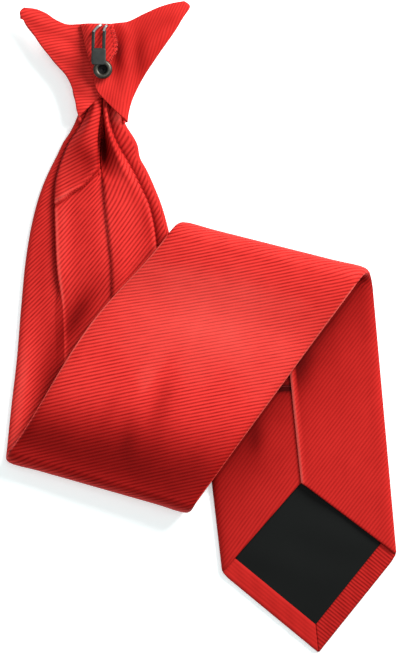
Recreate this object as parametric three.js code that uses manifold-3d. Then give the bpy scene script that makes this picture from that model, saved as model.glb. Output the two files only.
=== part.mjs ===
// A clip-on necktie lying on a table, back of the knot up, with its blade folded twice:
// the hanging run goes down from the knot, turns over at the lower fold, crosses above
// itself, turns under at the upper fold and ends in a pointed tip that shows its lining.
// Millimetres. +X right, +Y from the lower fold to the knot, +Z up from the table.

import * as THREE from "three";
import Module from "manifold-3d";

// Cloth and gaps
const shellWall = 1; // the tie's own folded cloth
const liningWall = 1; // tipping and hem inside the tip
const coverWall = 1.5; // knot cover, padded
const wingWall = 2.2; // knot wings, cloth folded double
const tabWall = 1.2; // strip that carries the clip
const layerGap = 0.3; // between cloth layers and between pieces

// Blade
const foldWidth = 84; // across the blade at the lower fold
const cornerWidth = 80; // across the blade at the corners of the tip
const tipDepth = 40.5; // corners to point
const hangRun = 176; // top end inside the knot to the lower fold
const crossRun = 124.2; // lower fold to the upper fold
const tailRun = 138.8; // upper fold to the corners of the tip
const hangAngle = -90.6; // directions in the plane of the table, degrees from +X
const crossAngle = 53.8;
const tailAngle = -84.1;
const lowerFoldAngle = -16;
const upperFoldAngle = -14.4;
const seamLap = 4; // right flap over left flap
const tipOpening = 37.2; // how far the flaps open above the corners
const hemWidth = 8.3;
const liningCover = 5; // lining that runs on under the flaps

// Fold loops, height of the mid layer and how far it stands out past the crease line
const lowerLoop = { left: { height: 7, bulge: 3.8 }, right: { height: 11, bulge: 3.5 } };
const upperLoop = { left: { height: 12, bulge: 5.6 }, right: { height: 13, bulge: 6 } };
const lowerEase = 46; // length over which the crossing run settles after a loop
const upperEase = 40;
const lowerSlip = 0.6; // how far the cloth slides along a fold, share of a free roll
const upperSlip = 1.1;
const edgeBow = 4.5; // left edge of the crossing run stands out from a straight line
const edgeBowAt = 0.55; // where it stands out most, share of the run

// Pleats of the hanging run below the knot
const ridgeHeight = 9.6; // mid layer of the two ridges above the table
const tuckDepth = 8; // cloth folded away under each side of the centre panel

// Knot
const bladeInsert = 14.7; // blade inside the knot's mouth
const knotLength = 45.5;
const knotWidth = 34.5; // widest part of the cover
const knotFront = 7; // depth of the cover from its front to its lips
const wingCrown = 1.6; // rise of the left wing above the cover's lips
const wingSpan = 77; // tip to tip
const wingHeight = 57; // mouth of the knot to the higher wing tip
const tabWidth = 15;
const tabLength = 24;

// Clip
const clipWidth = 6.4;
const clipLength = 17.5;
const clipMetal = 0.7;
const clipArm = 1.3;
const clipPlate = 7.4; // solid plate below the slot
const clipRound = 1.8; // rounding of the plate's end
const armStep = 1; // where an arm leaves the plate
const hookRun = 3.6; // bent part of the arms below the knot's top edge
const hookShift = 1.2; // how far the hooks lean to the right
const hookDrop = 4; // arms' length behind the top edge
const eyeletRadius = 4.4;
const eyeletHole = 2.3;
const eyeletHeight = 2.1;
const eyeletSides = 16;

// Colours and finish
const clothRed = { color: 0xd9342b, roughness: 0.55, metalness: 0 };
const deepRed = { color: 0xc42a24, roughness: 0.6, metalness: 0 };
const liningBlack = { color: 0x1b1d1c, roughness: 0.5, metalness: 0 };
const darkSteel = { color: 0x3b3e3c, roughness: 0.35, metalness: 0.9 };
const greySteel = { color: 0x56585a, roughness: 0.3, metalness: 0.9 };

const wasm = await Module();
wasm.setup();

// Small helpers
const mix = (a, b, t) => a + (b - a) * t;
const clamp01 = (t) => Math.min(1, Math.max(0, t));
const smooth = (t) => clamp01(t) ** 2 * (3 - 2 * clamp01(t));
const spread = (count) => Array.from({ length: count }, (_, i) => i / (count - 1));
const heading = (degrees) => {
  const turn = THREE.MathUtils.degToRad(degrees);
  return new THREE.Vector3(Math.cos(turn), Math.sin(turn), 0);
};
const leftOf = (dir) => new THREE.Vector3(-dir.y, dir.x, 0);
const up = new THREE.Vector3(0, 0, 1);
const move = (point, ...steps) => {
  const moved = point.clone();
  steps.forEach(([dir, length]) => moved.addScaledVector(dir, length));
  return moved;
};

// Rows of a table as objects with its column names
const tableOf = (names, rows) =>
  rows.map((row) => Object.fromEntries(names.split(" ").map((name, i) => [name, row[i]])));

// Value of a named column at a share, read smoothly between the rows of a table
function readTable(table, key, column, at) {
  const last = table.length - 1;
  const next = Math.min(last, Math.max(1, table.findIndex((row) => row[key] >= at)));
  const before = table[next - 1];
  const after = table[next];
  const t = clamp01((at - before[key]) / (after[key] - before[key]));
  return mix(before[column], after[column], t);
}

// Closed body between two grids of points, with a rim round their edges
function closedBody(front, back) {
  const rows = front.length;
  const columns = front[0].length;
  const points = [...front.flat(), ...back.flat()];
  const at = (side, i, j) => side * rows * columns + i * columns + j;
  const faces = [];
  const quad = (a, b, c, d) => faces.push(a, b, c, a, c, d);
  for (let i = 0; i < rows - 1; i++) {
    for (let j = 0; j < columns - 1; j++) {
      quad(at(0, i, j), at(0, i, j + 1), at(0, i + 1, j + 1), at(0, i + 1, j));
      quad(at(1, i, j), at(1, i + 1, j), at(1, i + 1, j + 1), at(1, i, j + 1));
    }
    quad(at(0, i, 0), at(0, i + 1, 0), at(1, i + 1, 0), at(1, i, 0));
    const end = columns - 1;
    quad(at(0, i + 1, end), at(0, i, end), at(1, i, end), at(1, i + 1, end));
  }
  for (let j = 0; j < columns - 1; j++) {
    quad(at(0, 0, j + 1), at(0, 0, j), at(1, 0, j), at(1, 0, j + 1));
    const end = rows - 1;
    quad(at(0, end, j), at(0, end, j + 1), at(1, end, j + 1), at(1, end, j));
  }
  return geometryOf(points, faces);
}

// Geometry from points and faces, turned so that its faces point out
function geometryOf(points, faces) {
  let volume = 0;
  for (let f = 0; f < faces.length; f += 3) {
    const [a, b, c] = [points[faces[f]], points[faces[f + 1]], points[faces[f + 2]]];
    volume += a.dot(b.clone().cross(c));
  }
  if (volume < 0) faces.reverse();
  const geometry = new THREE.BufferGeometry();
  const flat = points.flatMap((p) => p.toArray());
  geometry.setAttribute("position", new THREE.Float32BufferAttribute(flat, 3));
  geometry.setIndex(faces);
  geometry.computeVertexNormals();
  return geometry;
}

// Wall of even thickness round a grid of points on its mid surface
function clothWall(middle, wall) {
  const rows = middle.length;
  const columns = middle[0].length;
  const normalAt = (i, j) => {
    const along = middle[Math.min(rows - 1, i + 1)][j].clone().sub(middle[Math.max(0, i - 1)][j]);
    const across = middle[i][Math.min(columns - 1, j + 1)].clone().sub(middle[i][Math.max(0, j - 1)]);
    return along.cross(across).normalize();
  };
  const side = (sign) =>
    middle.map((row, i) => row.map((point, j) => move(point, [normalAt(i, j), (sign * wall) / 2])));
  return closedBody(side(1), side(-1));
}

// Section of the folded blade: a line of cloth in mm across and towards the front,
// widened to a wall on both sides of itself
function offsetSection(line, distance) {
  return line.map((point, i) => {
    const before = line[Math.max(0, i - 1)];
    const after = line[Math.min(line.length - 1, i + 1)];
    const first = new THREE.Vector2(point.x - before.x, point.y - before.y).normalize();
    const second = new THREE.Vector2(after.x - point.x, after.y - point.y).normalize();
    if (i === 0) first.copy(second);
    if (i === line.length - 1) second.copy(first);
    const tangent = first.clone().add(second).normalize();
    const out = distance * Math.min(1.25, 1 / Math.max(0.5, Math.abs(tangent.dot(first))));
    return new THREE.Vector2(point.x + tangent.y * out, point.y - tangent.x * out);
  });
}

// Levels of the flattened blade, measured from its mid layer
const layerRise = shellWall + layerGap;
const halfInner = (liningWall + 2 * layerGap + shellWall) / 2;
const halfBlade = halfInner + shellWall / 2;
const restLow = halfBlade;
const restHigh = restLow + 2 * halfBlade + 2 * layerRise + layerGap;
const bend = halfInner;

// Plan of the fold lines: corner of each run's edge with each fold line
const hangDir = heading(hangAngle);
const crossDir = heading(crossAngle);
const tailDir = heading(tailAngle);
const lowerAxis = heading(lowerFoldAngle);
const upperAxis = heading(upperFoldAngle);
const lowerOut = leftOf(lowerAxis).negate();
const upperOut = leftOf(upperAxis);
const bladeRun = crossRun + tailRun;
const widthAt = (run) => mix(foldWidth, cornerWidth, run / bladeRun);
const upperWidth = widthAt(crossRun);
const reach = (width, dir, axis) => width / 2 / Math.abs(leftOf(dir).dot(axis));
const loopShift = (loop, dir, axis) =>
  ((Math.PI * (loop.height / 2 + loop.bulge)) / 2) * Math.abs(dir.dot(axis));

const lowerCentre = new THREE.Vector3(0, 0, restLow);
const lowerReach = reach(foldWidth, hangDir, lowerAxis);
const lowerSlide = (side) => loopShift(lowerLoop[side], hangDir, lowerAxis) * lowerSlip;
const lowerStart = {
  left: move(lowerCentre, [lowerAxis, -lowerReach]),
  right: move(lowerCentre, [lowerAxis, lowerReach]),
};
const lowerEnd = {
  left: move(lowerStart.left, [lowerAxis, lowerSlide("left")]),
  right: move(lowerStart.right, [lowerAxis, lowerSlide("right")]),
};
const crossStart = lowerEnd.left.clone().add(lowerEnd.right).multiplyScalar(0.5);
const crossEnd = move(crossStart, [crossDir, crossRun]);
const upperReach = reach(upperWidth, crossDir, upperAxis);
const upperStart = {
  left: move(crossEnd, [upperAxis, -upperReach]),
  right: move(crossEnd, [upperAxis, upperReach]),
};
const upperSlide = (side) => loopShift(upperLoop[side], crossDir, upperAxis) * upperSlip;
const upperEnd = {
  left: move(upperStart.left, [upperAxis, upperSlide("left")]),
  right: move(upperStart.right, [upperAxis, upperSlide("right")]),
};
const tailStart = upperEnd.left.clone().add(upperEnd.right).multiplyScalar(0.5);
const tailSide = leftOf(tailDir);
const cornerCentre = move(tailStart, [tailDir, tailRun]);
const corner = {
  left: move(cornerCentre, [tailSide, -cornerWidth / 2]),
  right: move(cornerCentre, [tailSide, cornerWidth / 2]),
};
// The tail runs towards -Y, so the side at the picture's left is the one against tailSide
const edgeOnTail = (side, t) => upperEnd[side].clone().lerp(corner[side], t);

// Folded cloth across the blade where it lies flat, as shares of the width.
// The columns follow one thread each, from the knot to the tip.
const flatFlap = {
  left: { seam: 0.5, ridge: 0.4, crease: 0.28 },
  right: { seam: 0.5, ridge: 0.68, crease: 0.8 },
};
const creaseStep = 1.4; // spacing of the crease columns where the pleat is open

// Line of a flap from its seam end to the blade's edge. x grows away from the edge of the
// side it belongs to; height is measured from the front wall's mid line.
function flapLine({ edge, crease, ridge, end, nearEnd, flank, crest, valley, endRise, tuck }) {
  const half = layerRise / 2;
  const folded = tuck > 2 * half + 0.4;
  const top = folded ? flank + 2 * layerRise : Math.max(flank, crest);
  const pleat = folded
    ? [
        [crease + half, top],
        [crease, top - half],
        [crease + half, top - layerRise],
        [crease + tuck - half, top - layerRise],
        [crease + tuck, top - layerRise - half],
        [crease + tuck - half, flank],
      ]
    : [0.5, 0.3, 0.1, -0.1, -0.3, -0.5].map((share, i) => [
        crease + share * creaseStep * 3,
        mix(top, flank, i / 5),
      ]);
  const last = pleat[pleat.length - 1][0];
  return [
    [end, valley + endRise],
    [nearEnd, valley + endRise],
    [ridge, crest],
    ...pleat,
    [mix(edge + bend, last, 0.5), flank],
    [edge + bend, flank],
  ];
}

// One row of the blade's cloth: left flap, left edge, front, right edge, right flap.
// half is the blade's half width there; all x are from the centre line, heights above the front.
function bladeSection(row) {
  const left = flapLine({
    edge: row.leftEdge,
    crease: row.leftCrease,
    ridge: row.leftRidge,
    end: row.seam + row.lap - (row.lap > 0 ? 0 : layerGap / 2),
    nearEnd: Math.max(row.leftRidge + layerGap, row.seam - 2.4),
    flank: row.flank,
    crest: row.crest,
    valley: row.valley,
    endRise: 0,
    tuck: row.leftTuck,
  }).map(([x, y]) => new THREE.Vector2(x, y));
  const right = flapLine({
    edge: -row.rightEdge,
    crease: -row.rightCrease,
    ridge: -row.rightRidge,
    end: -row.seam - (row.lap > 0 ? 0 : layerGap / 2),
    nearEnd: -Math.min(row.rightRidge - layerGap, row.seam + (row.lap > 0 ? row.lap + 1 : 1.2)),
    flank: row.flank,
    crest: row.crest,
    valley: row.valley,
    endRise: row.lap > 0 ? layerRise : 0,
    tuck: row.rightTuck,
  }).map(([x, y]) => new THREE.Vector2(-x, y));
  const edgeMid = (edge) => new THREE.Vector2(edge, row.flank / 2);
  const front = spread(7).map(
    (t) => new THREE.Vector2(mix(row.leftEdge + bend, row.rightEdge - bend, t), 0),
  );
  return [...left, edgeMid(row.leftEdge), ...front, edgeMid(row.rightEdge), ...right.reverse()];
}

// Sections of the blade, across in shares of a half width, up in shares of ridgeHeight and
// the cloth folded under in shares of tuckDepth. Inside the knot along is the share of
// bladeInsert and across of the room in the knot's mouth; below it along is the share of the
// run that is left and across of half the fold width.
const sectionColumns =
  "along leftEdge leftCrease leftRidge seam rightRidge rightCrease rightEdge " +
  "base flank crest valley leftTuck rightTuck lap";
const neckRows = tableOf(sectionColumns, [
  [0, -1, -0.68, -0.38, -0.08, 0.16, 0.42, 1, 0.32, 0.16, 0.45, 0.18, 0.3, 0.22, 0],
  [0.5, -1, -0.7, -0.38, 0, 0.2, 0.44, 1, 0.32, 0.16, 0.46, 0.18, 0.35, 0.22, 0],
  [1, -1, -0.78, -0.4, 0, 0.24, 0.5, 1, 0.3, 0.16, 0.56, 0.16, 0.45, 0.25, 0],
]);
const hangRows = tableOf(sectionColumns, [
  [0.022, -0.34, -0.27, -0.15, 0, 0.08, 0.13, 0.3, 0.25, 0.18, 0.7, 0.16, 0.7, 0.4, 0],
  [0.054, -0.41, -0.35, -0.18, 0, 0.12, 0.17, 0.34, 0.2, 0.19, 0.75, 0.17, 0.9, 0.6, 0],
  [0.088, -0.48, -0.41, -0.2, -0.02, 0.18, 0.24, 0.39, 0.16, 0.2, 0.75, 0.28, 1, 0.9, 0],
  [0.125, -0.55, -0.46, -0.21, -0.01, 0.25, 0.33, 0.48, 0.11, 0.22, 0.7, 0.45, 1, 1, 0],
  [0.174, -0.63, -0.5, -0.23, 0.02, 0.31, 0.43, 0.57, 0.07, 0.24, 0.64, 0.54, 1, 1, 1],
  [0.231, -0.7, -0.51, -0.23, 0.04, 0.36, 0.53, 0.66, 0.03, 0.26, 0.6, 0.56, 0.9, 0.9, 1],
  [0.316, -0.77, -0.5, -0.22, 0.08, 0.38, 0.6, 0.75, 0, 0.27, 0.55, 0.54, 0.6, 0.6, 1],
  [0.411, -0.82, -0.48, -0.19, 0.12, 0.41, 0.63, 0.82, 0, 0.27, 0.54, 0.54, 0.3, 0.3, 1],
  [0.542, -0.86, -0.45, -0.15, 0.13, 0.42, 0.63, 0.86, 0, 0.27, 0.35, 0.35, 0, 0, 1],
  [0.7, -0.9, -0.42, -0.15, 0.1, 0.4, 0.62, 0.91, 0, 0.27, 0.31, 0.31, 0, 0, 1],
  [0.869, -0.96, -0.43, -0.18, 0.04, 0.38, 0.61, 0.97, 0, 0.27, 0.27, 0.27, 0, 0, 1],
]);
const mouthShare = 0.6; // width of the cover's mouth, share of knotWidth
const neckHalf = (knotWidth / 2) * mouthShare - coverWall - 2 * layerGap - shellWall / 2;
const foldHalf = foldWidth / 2;
const foldedLeast = 2 * layerRise; // least height of a folded pleat above its side strip

function hangSection(row, half) {
  const flank = Math.max(2 * halfInner * (row.base > 0 ? row.flank / 0.27 : 1), layerRise);
  const leftTuck = row.leftTuck * tuckDepth;
  const rise = row.leftTuck > 0 ? foldedLeast : 0;
  const crest = Math.max(row.crest * ridgeHeight, flank + rise);
  const valleyFloor = row.lap > 0 ? flank + rise : flank;
  return bladeSection({
    leftEdge: row.leftEdge * half,
    leftCrease: row.leftCrease * half,
    leftRidge: row.leftRidge * half,
    seam: row.seam * half,
    rightRidge: row.rightRidge * half,
    rightCrease: row.rightCrease * half,
    rightEdge: row.rightEdge * half,
    flank,
    crest,
    valley: Math.max(row.valley * ridgeHeight, valleyFloor),
    leftTuck,
    rightTuck: row.rightTuck * tuckDepth,
    lap: row.lap * seamLap,
  });
}

// Section where the blade lies flat, of a given width
function flatSection(width) {
  const x = (share) => (share - 0.5) * width;
  return bladeSection({
    leftEdge: x(0),
    leftCrease: x(flatFlap.left.crease),
    leftRidge: x(flatFlap.left.ridge),
    seam: x(flatFlap.left.seam),
    rightRidge: x(flatFlap.right.ridge),
    rightCrease: x(flatFlap.right.crease),
    rightEdge: x(1),
    flank: 2 * halfInner,
    crest: 2 * halfInner,
    valley: 2 * halfInner,
    leftTuck: 0,
    rightTuck: 0,
    lap: seamLap,
  });
}

// Outer and inner line of a section's wall
const sectionWalls = (section) => [-1, 1].map((side) => offsetSection(section, (side * shellWall) / 2));

// Rows of the hanging run
const hangTop = move(lowerCentre, [hangDir, -hangRun]);
const hangSide = leftOf(hangDir);
const endSlope = Math.tan(THREE.MathUtils.degToRad(hangAngle + 90 - lowerFoldAngle));
function hangPoint(along, x, height) {
  const slope = endSlope * along ** 2;
  const point = move(hangTop, [hangDir, along * hangRun + x * slope], [hangSide, x]);
  point.z = height;
  return point;
}
const bladeRows = { outer: [], inner: [] };
function addRow(section, place) {
  const [inner, outer] = sectionWalls(section);
  bladeRows.outer.push(outer.map(place));
  bladeRows.inner.push(inner.map(place));
}
function addHangRows(rows, half, from, length) {
  rows.forEach((row) => {
    const front = row.base * ridgeHeight + shellWall / 2;
    const along = (from + row.along * length) / hangRun;
    addRow(hangSection(row, half), (p) => hangPoint(along, p.x, front + p.y));
  });
}
addHangRows(neckRows, neckHalf, 0, bladeInsert);
addHangRows(hangRows, foldHalf, bladeInsert, hangRun - bladeInsert);

// A row of the flat blade between its two edges; p.y is the height above the front wall,
// so the front side is turned to frontDir and the flaps stand against it
function placeBetween(left, right, leftFront, rightFront, width) {
  return (p) => {
    const t = p.x / width + 0.5;
    const frontDir = leftFront.clone().lerp(rightFront, t).normalize();
    return move(left.clone().lerp(right, t), [frontDir, halfInner - p.y]);
  };
}

// Rows round a fold loop
function addLoop(loop, from, axis, out, slide, width, startSide, steps) {
  const edgeAt = (side, turn) => {
    const { height, bulge } = loop[side];
    const fromTop = startSide === "top";
    const angle = fromTop ? Math.PI - turn : turn;
    const base = from[side].clone();
    base.z = restLow;
    const place = move(
      base,
      [out, bulge * Math.sin(angle)],
      [axis, (slide(side) * turn) / Math.PI],
      [up, (height / 2) * (1 - Math.cos(angle))],
    );
    const frontDir = out
      .clone()
      .multiplyScalar((Math.sin(angle) * height) / 2)
      .addScaledVector(up, -Math.cos(angle) * bulge)
      .normalize();
    return { place, frontDir };
  };
  steps.forEach((step) => {
    const left = edgeAt("left", step * Math.PI);
    const right = edgeAt("right", step * Math.PI);
    const placed = placeBetween(left.place, right.place, left.frontDir, right.frontDir, width);
    addRow(flatSection(width), placed);
  });
}
const loopSteps = [0, 0.14, 0.28, 0.42, 0.58, 0.72, 0.86, 1];
addLoop(lowerLoop, lowerStart, lowerAxis, lowerOut, lowerSlide, foldWidth, "bottom", loopSteps);

// Crossing run: from the lower loop's top down to its rest and up again to the upper loop
const crossSteps = [0.06, 0.13, 0.2, 0.28, 0.38, 0.5, 0.62, 0.72, 0.8, 0.87, 0.94];
function crossHeight(side, t) {
  const lowerTop = restLow + lowerLoop[side].height - restHigh;
  const upperTop = restLow + upperLoop[side].height - restHigh;
  const fromLower = lowerTop * (1 - smooth((t * crossRun) / lowerEase));
  const fromUpper = upperTop * (1 - smooth(((1 - t) * crossRun) / upperEase));
  return restHigh + fromLower + fromUpper;
}
crossSteps.forEach((t) => {
  const width = mix(foldWidth, upperWidth, t);
  const bowTurn = t < edgeBowAt ? t / edgeBowAt / 2 : 1 - (1 - t) / (1 - edgeBowAt) / 2;
  const bow = { left: edgeBow * Math.sin(Math.PI * bowTurn) ** 2, right: 0 };
  const edge = (side) => {
    const point = lowerEnd[side].clone().lerp(upperStart[side], t);
    point.addScaledVector(leftOf(crossDir), bow[side]);
    point.z = crossHeight(side, t);
    return point;
  };
  addRow(flatSection(width), placeBetween(edge("left"), edge("right"), up, up, width));
});
addLoop(upperLoop, upperStart, upperAxis, upperOut, upperSlide, upperWidth, "top", loopSteps);

// Tail: each thread runs from the upper fold to its own end, so the front ends in a point
// and the two flaps open in a wedge above it
const tailSteps = [0.1, 0.22, 0.36, 0.5, 0.64, 0.78, 0.9, 1];
const down = up.clone().negate();
tailSteps.forEach((t) => {
  const width = mix(upperWidth, cornerWidth, t);
  const edgeRow = placeBetween(edgeOnTail("left", t), edgeOnTail("right", t), down, down, width);
  addRow(flatSection(width), (p) => {
    const inward = 1 - Math.abs(p.x) / (width / 2);
    const front = p.y < halfInner;
    const lengthen = front ? tipDepth * clamp01(inward) : -tipOpening * clamp01(inward);
    return move(edgeRow(p), [tailDir, lengthen * t]);
  });
});
const bladeBody = closedBody(bladeRows.outer, bladeRows.inner);

// Flat plate of a closed outline on the tail, from a lower to an upper height
function tailPlate(outline, low, high) {
  const bottom = outline.map(([across, along]) => {
    const point = move(cornerCentre, [tailSide, across], [tailDir, along]);
    return new THREE.Vector2(point.x, point.y);
  });
  const geometry = new THREE.ExtrudeGeometry(new THREE.Shape(bottom), {
    depth: high - low,
    bevelEnabled: false,
  });
  geometry.translate(0, 0, low);
  return geometry;
}
const liningLow = shellWall + layerGap;
const liningHigh = liningLow + liningWall;

// Hem turned in along both slanted edges of the tip and mitred at the point
const tipSlope = tipDepth / (cornerWidth / 2);
const hemDrop = hemWidth * Math.hypot(1, tipSlope);
const hemReach = cornerWidth / 2 - bend - shellWall / 2 - layerGap;
const outerHem = (x) => tipDepth - Math.abs(x) * tipSlope;
const innerHem = (x) => outerHem(x) - hemDrop;
const hemOutline = [
  [-hemReach, outerHem(hemReach)],
  [0, outerHem(0)],
  [hemReach, outerHem(hemReach)],
  [hemReach, innerHem(hemReach)],
  [0, innerHem(0)],
  [-hemReach, innerHem(hemReach)],
];

// Lining that fills the tip inside the hem and runs on under the flaps
const liningReach = hemReach - hemWidth / 2;
const liningEdge = (x) => innerHem(x) - layerGap * 2;
const liningTop = (x) => -tipOpening * (1 - Math.abs(x) / (cornerWidth / 2)) - liningCover;
const liningOutline = [
  [0, liningEdge(0)],
  [liningReach, liningEdge(liningReach)],
  [liningReach, liningTop(liningReach)],
  [0, liningTop(0)],
  [-liningReach, liningTop(liningReach)],
  [-liningReach, liningEdge(liningReach)],
];

// Knot. Places on it are shares of its half wing span across and of its wing height up,
// from the middle of its mouth
const mouth = move(hangTop, [hangDir, bladeInsert]);
const knotUp = hangDir.clone().negate();
const knotSide = hangSide;
const knotPoint = (across, rise, height) => {
  const point = move(mouth, [knotSide, across], [knotUp, rise]);
  point.z = height;
  return point;
};

// Cover: front of the knot, a deep channel open to the back and at the mouth
const coverRows = [
  { rise: 0, width: mouthShare, front: 0.12 },
  { rise: 0.13, width: 0.63, front: 0.03 },
  { rise: 0.28, width: 0.73, front: 0 },
  { rise: 0.46, width: 0.84, front: 0 },
  { rise: 0.64, width: 0.94, front: 0 },
  { rise: 0.8, width: 1, front: 0.06 },
  { rise: 0.9, width: 0.98, front: 0.2 },
  { rise: 0.96, width: 0.93, front: 0.45 },
  { rise: 1, width: 0.86, front: 0.8 },
];
const coverTurns = 15;
const coverLip = knotFront - coverWall / 2;
const coverMiddle = coverRows.map((row) => {
  const half = (knotWidth / 2 - coverWall / 2) * row.width;
  const front = coverWall / 2 + row.front * (coverLip - coverWall);
  return spread(coverTurns).map((t) => {
    const turn = Math.PI * t;
    const across = -half * Math.sign(Math.cos(turn)) * Math.abs(Math.cos(turn)) ** 0.75;
    const depth = Math.sin(turn) ** 0.75;
    return knotPoint(across, row.rise * knotLength, mix(coverLip, front, depth));
  });
});

// Wings: rulings from the outer edge to the inner edge, tip first. Across is a share of
// half the wing span, rise a share of the wing height, height a share of the lap level.
const halfSpan = wingSpan / 2;
const backEdge = 0.77; // top edge of both wings under the tab
const leftColumns = "outerX outerY innerX innerY outerH midH innerH";
const leftRulings = tableOf(leftColumns, [
  [-0.96, 0.855, -0.94, 0.93, 0.04, 0.04, 0.04],
  [-0.93, 0.81, -0.82, 0.925, 0.05, 0.1, 0.05],
  [-0.86, 0.745, -0.68, 0.89, 0.06, 0.14, 0.06],
  [-0.76, 0.655, -0.54, 0.835, 0.08, 0.2, 0.1],
  [-0.65, 0.555, -0.39, 0.81, 0.1, 0.28, 0.2],
  [-0.53, 0.46, -0.26, backEdge, 0.14, 0.36, 0.32],
  [-0.43, 0.385, -0.1, 0.71, 0.2, 0.4, 0.4],
  [-0.37, 0.31, -0.06, 0.56, 0.24, 0.4, 0.4],
  [-0.34, 0.23, -0.04, 0.39, 0.28, 0.4, 0.4],
  [-0.31, 0.15, 0, 0.3, 0.3, 0.4, 0.4],
  [-0.29, 0.09, -0.02, 0.25, 0.3, 0.4, 0.4],
  [-0.28, 0.03, -0.05, 0.2, 0.3, 0.4, 0.4],
]);
const rightColumns = "outerX outerY innerX innerY outerH ridgeH valleyH innerH";
const rightRulings = tableOf(rightColumns, [
  [1.03, 0.94, 0.965, 1, 0.06, 0.06, 0.06, 0.06],
  [0.95, 0.86, 0.84, 0.985, 0.08, 0.16, 0.14, 0.1],
  [0.86, 0.76, 0.69, 0.955, 0.12, 0.36, 0.24, 0.16],
  [0.75, 0.655, 0.51, 0.9, 0.16, 0.6, 0.4, 0.3],
  [0.63, 0.535, 0.27, 0.81, 0.22, 0.78, 0.5, 0.6],
  [0.54, 0.44, 0.17, backEdge, 0.26, 0.88, 0.56, 1],
  [0.46, 0.345, -0.16, 0.75, 0.3, 0.92, 0.66, 1],
  [0.4, 0.265, -0.14, 0.56, 0.32, 0.92, 0.76, 1],
  [0.35, 0.185, -0.11, 0.4, 0.34, 0.88, 0.9, 1],
  [0.32, 0.11, -0.08, 0.295, 0.34, 0.84, 0.96, 1],
  [0.3, 0.045, -0.04, 0.245, 0.34, 0.8, 0.96, 1],
  [0.29, 0, 0, 0.225, 0.34, 0.78, 0.94, 1],
]);
const wingLow = knotFront + layerGap + wingWall / 2;
const lapLevel = wingCrown + wingWall + layerGap;
const leftTop = (share) => wingLow + Math.min(share / 0.4, 1) * wingCrown;
const rightTop = (share) => wingLow + share * lapLevel;
const leftShares = [0, 0.12, 0.3, 0.5, 0.7, 0.88, 1];
const rightShares = [0, 0.1, 0.24, 0.38, 0.52, 0.66, 0.82, 1];
function wingMiddle(rulings, shares, heightOf) {
  return rulings.map((ruling) =>
    shares.map((t) => {
      const across = mix(ruling.outerX, ruling.innerX, t) * halfSpan;
      const rise = mix(ruling.outerY, ruling.innerY, t) * wingHeight;
      return knotPoint(across, rise, heightOf(ruling, t));
    }),
  );
}
const leftHeight = (ruling, t) => {
  const { outerH, midH, innerH } = ruling;
  const share = t < 0.5 ? mix(outerH, midH, smooth(t * 2)) : mix(midH, innerH, t * 2 - 1);
  return leftTop(share);
};
const rightHeight = (ruling, t) => {
  const marks = [
    { at: 0, h: ruling.outerH },
    { at: 0.24, h: ruling.ridgeH },
    { at: 0.55, h: ruling.valleyH },
    { at: 0.8, h: ruling.innerH },
    { at: 1, h: ruling.innerH },
  ];
  return rightTop(readTable(marks, "at", "h", t));
};

const leftWingMiddle = wingMiddle(leftRulings, leftShares, leftHeight);
const rightWingMiddle = wingMiddle(rightRulings, rightShares, rightHeight);

// Tab: strip over the knot's top edge and down its back, under the clip
const tabRows = [
  { rise: -0.01, height: -0.75, left: -0.34, right: 0.54 },
  { rise: 0, height: -0.4, left: -0.36, right: 0.55 },
  { rise: -0.005, height: -0.12, left: -0.37, right: 0.56 },
  { rise: -0.05, height: 0, left: -0.38, right: 0.58 },
  { rise: -0.25, height: 0, left: -0.34, right: 0.66 },
  { rise: -0.5, height: 0, left: -0.27, right: 0.72 },
  { rise: -0.75, height: 0, left: -0.18, right: 0.68 },
  { rise: -1, height: 0, left: -0.06, right: 0.46 },
];
const tabShares = spread(6);
const tabLevel = rightTop(1) + wingWall / 2 + layerGap + tabWall / 2;
const tabTopRise = backEdge * wingHeight + layerGap + tabWall / 2;
const tabMiddle = tabRows.map((row) =>
  tabShares.map((t) => {
    const across = mix(row.left, row.right, t) * tabWidth - 0.08 * halfSpan;
    const height = tabLevel + row.height * (lapLevel + wingWall);
    return knotPoint(across, tabTopRise + row.rise * tabLength, height);
  }),
);

// Eyelet: round steel ring with a rolled rim that the clip's plate closes on
const eyeletPlace = { across: 0.005 * halfSpan, rise: 0.425 * wingHeight };
const eyeletLow = tabLevel + tabWall / 2 + layerGap;
const eyeletMid = (eyeletRadius + eyeletHole) / 2;
const eyeletProfile = [
  [eyeletHole + 0.25, 0],
  [eyeletRadius - 0.5, 0],
  [eyeletRadius, eyeletHeight * 0.3],
  [eyeletRadius - 0.25, eyeletHeight * 0.75],
  [eyeletMid + 0.1, eyeletHeight],
  [eyeletHole + 0.3, eyeletHeight * 0.85],
  [eyeletHole, eyeletHeight * 0.45],
  [eyeletHole + 0.25, 0],
];
function eyeletRing() {
  const profile = eyeletProfile.map(([r, z]) => new THREE.Vector2(r, z));
  const ring = new THREE.LatheGeometry(profile, eyeletSides);
  ring.rotateX(Math.PI / 2);
  const centre = knotPoint(eyeletPlace.across, eyeletPlace.rise, eyeletLow);
  ring.translate(centre.x, centre.y, centre.z);
  return ring;
}

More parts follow.
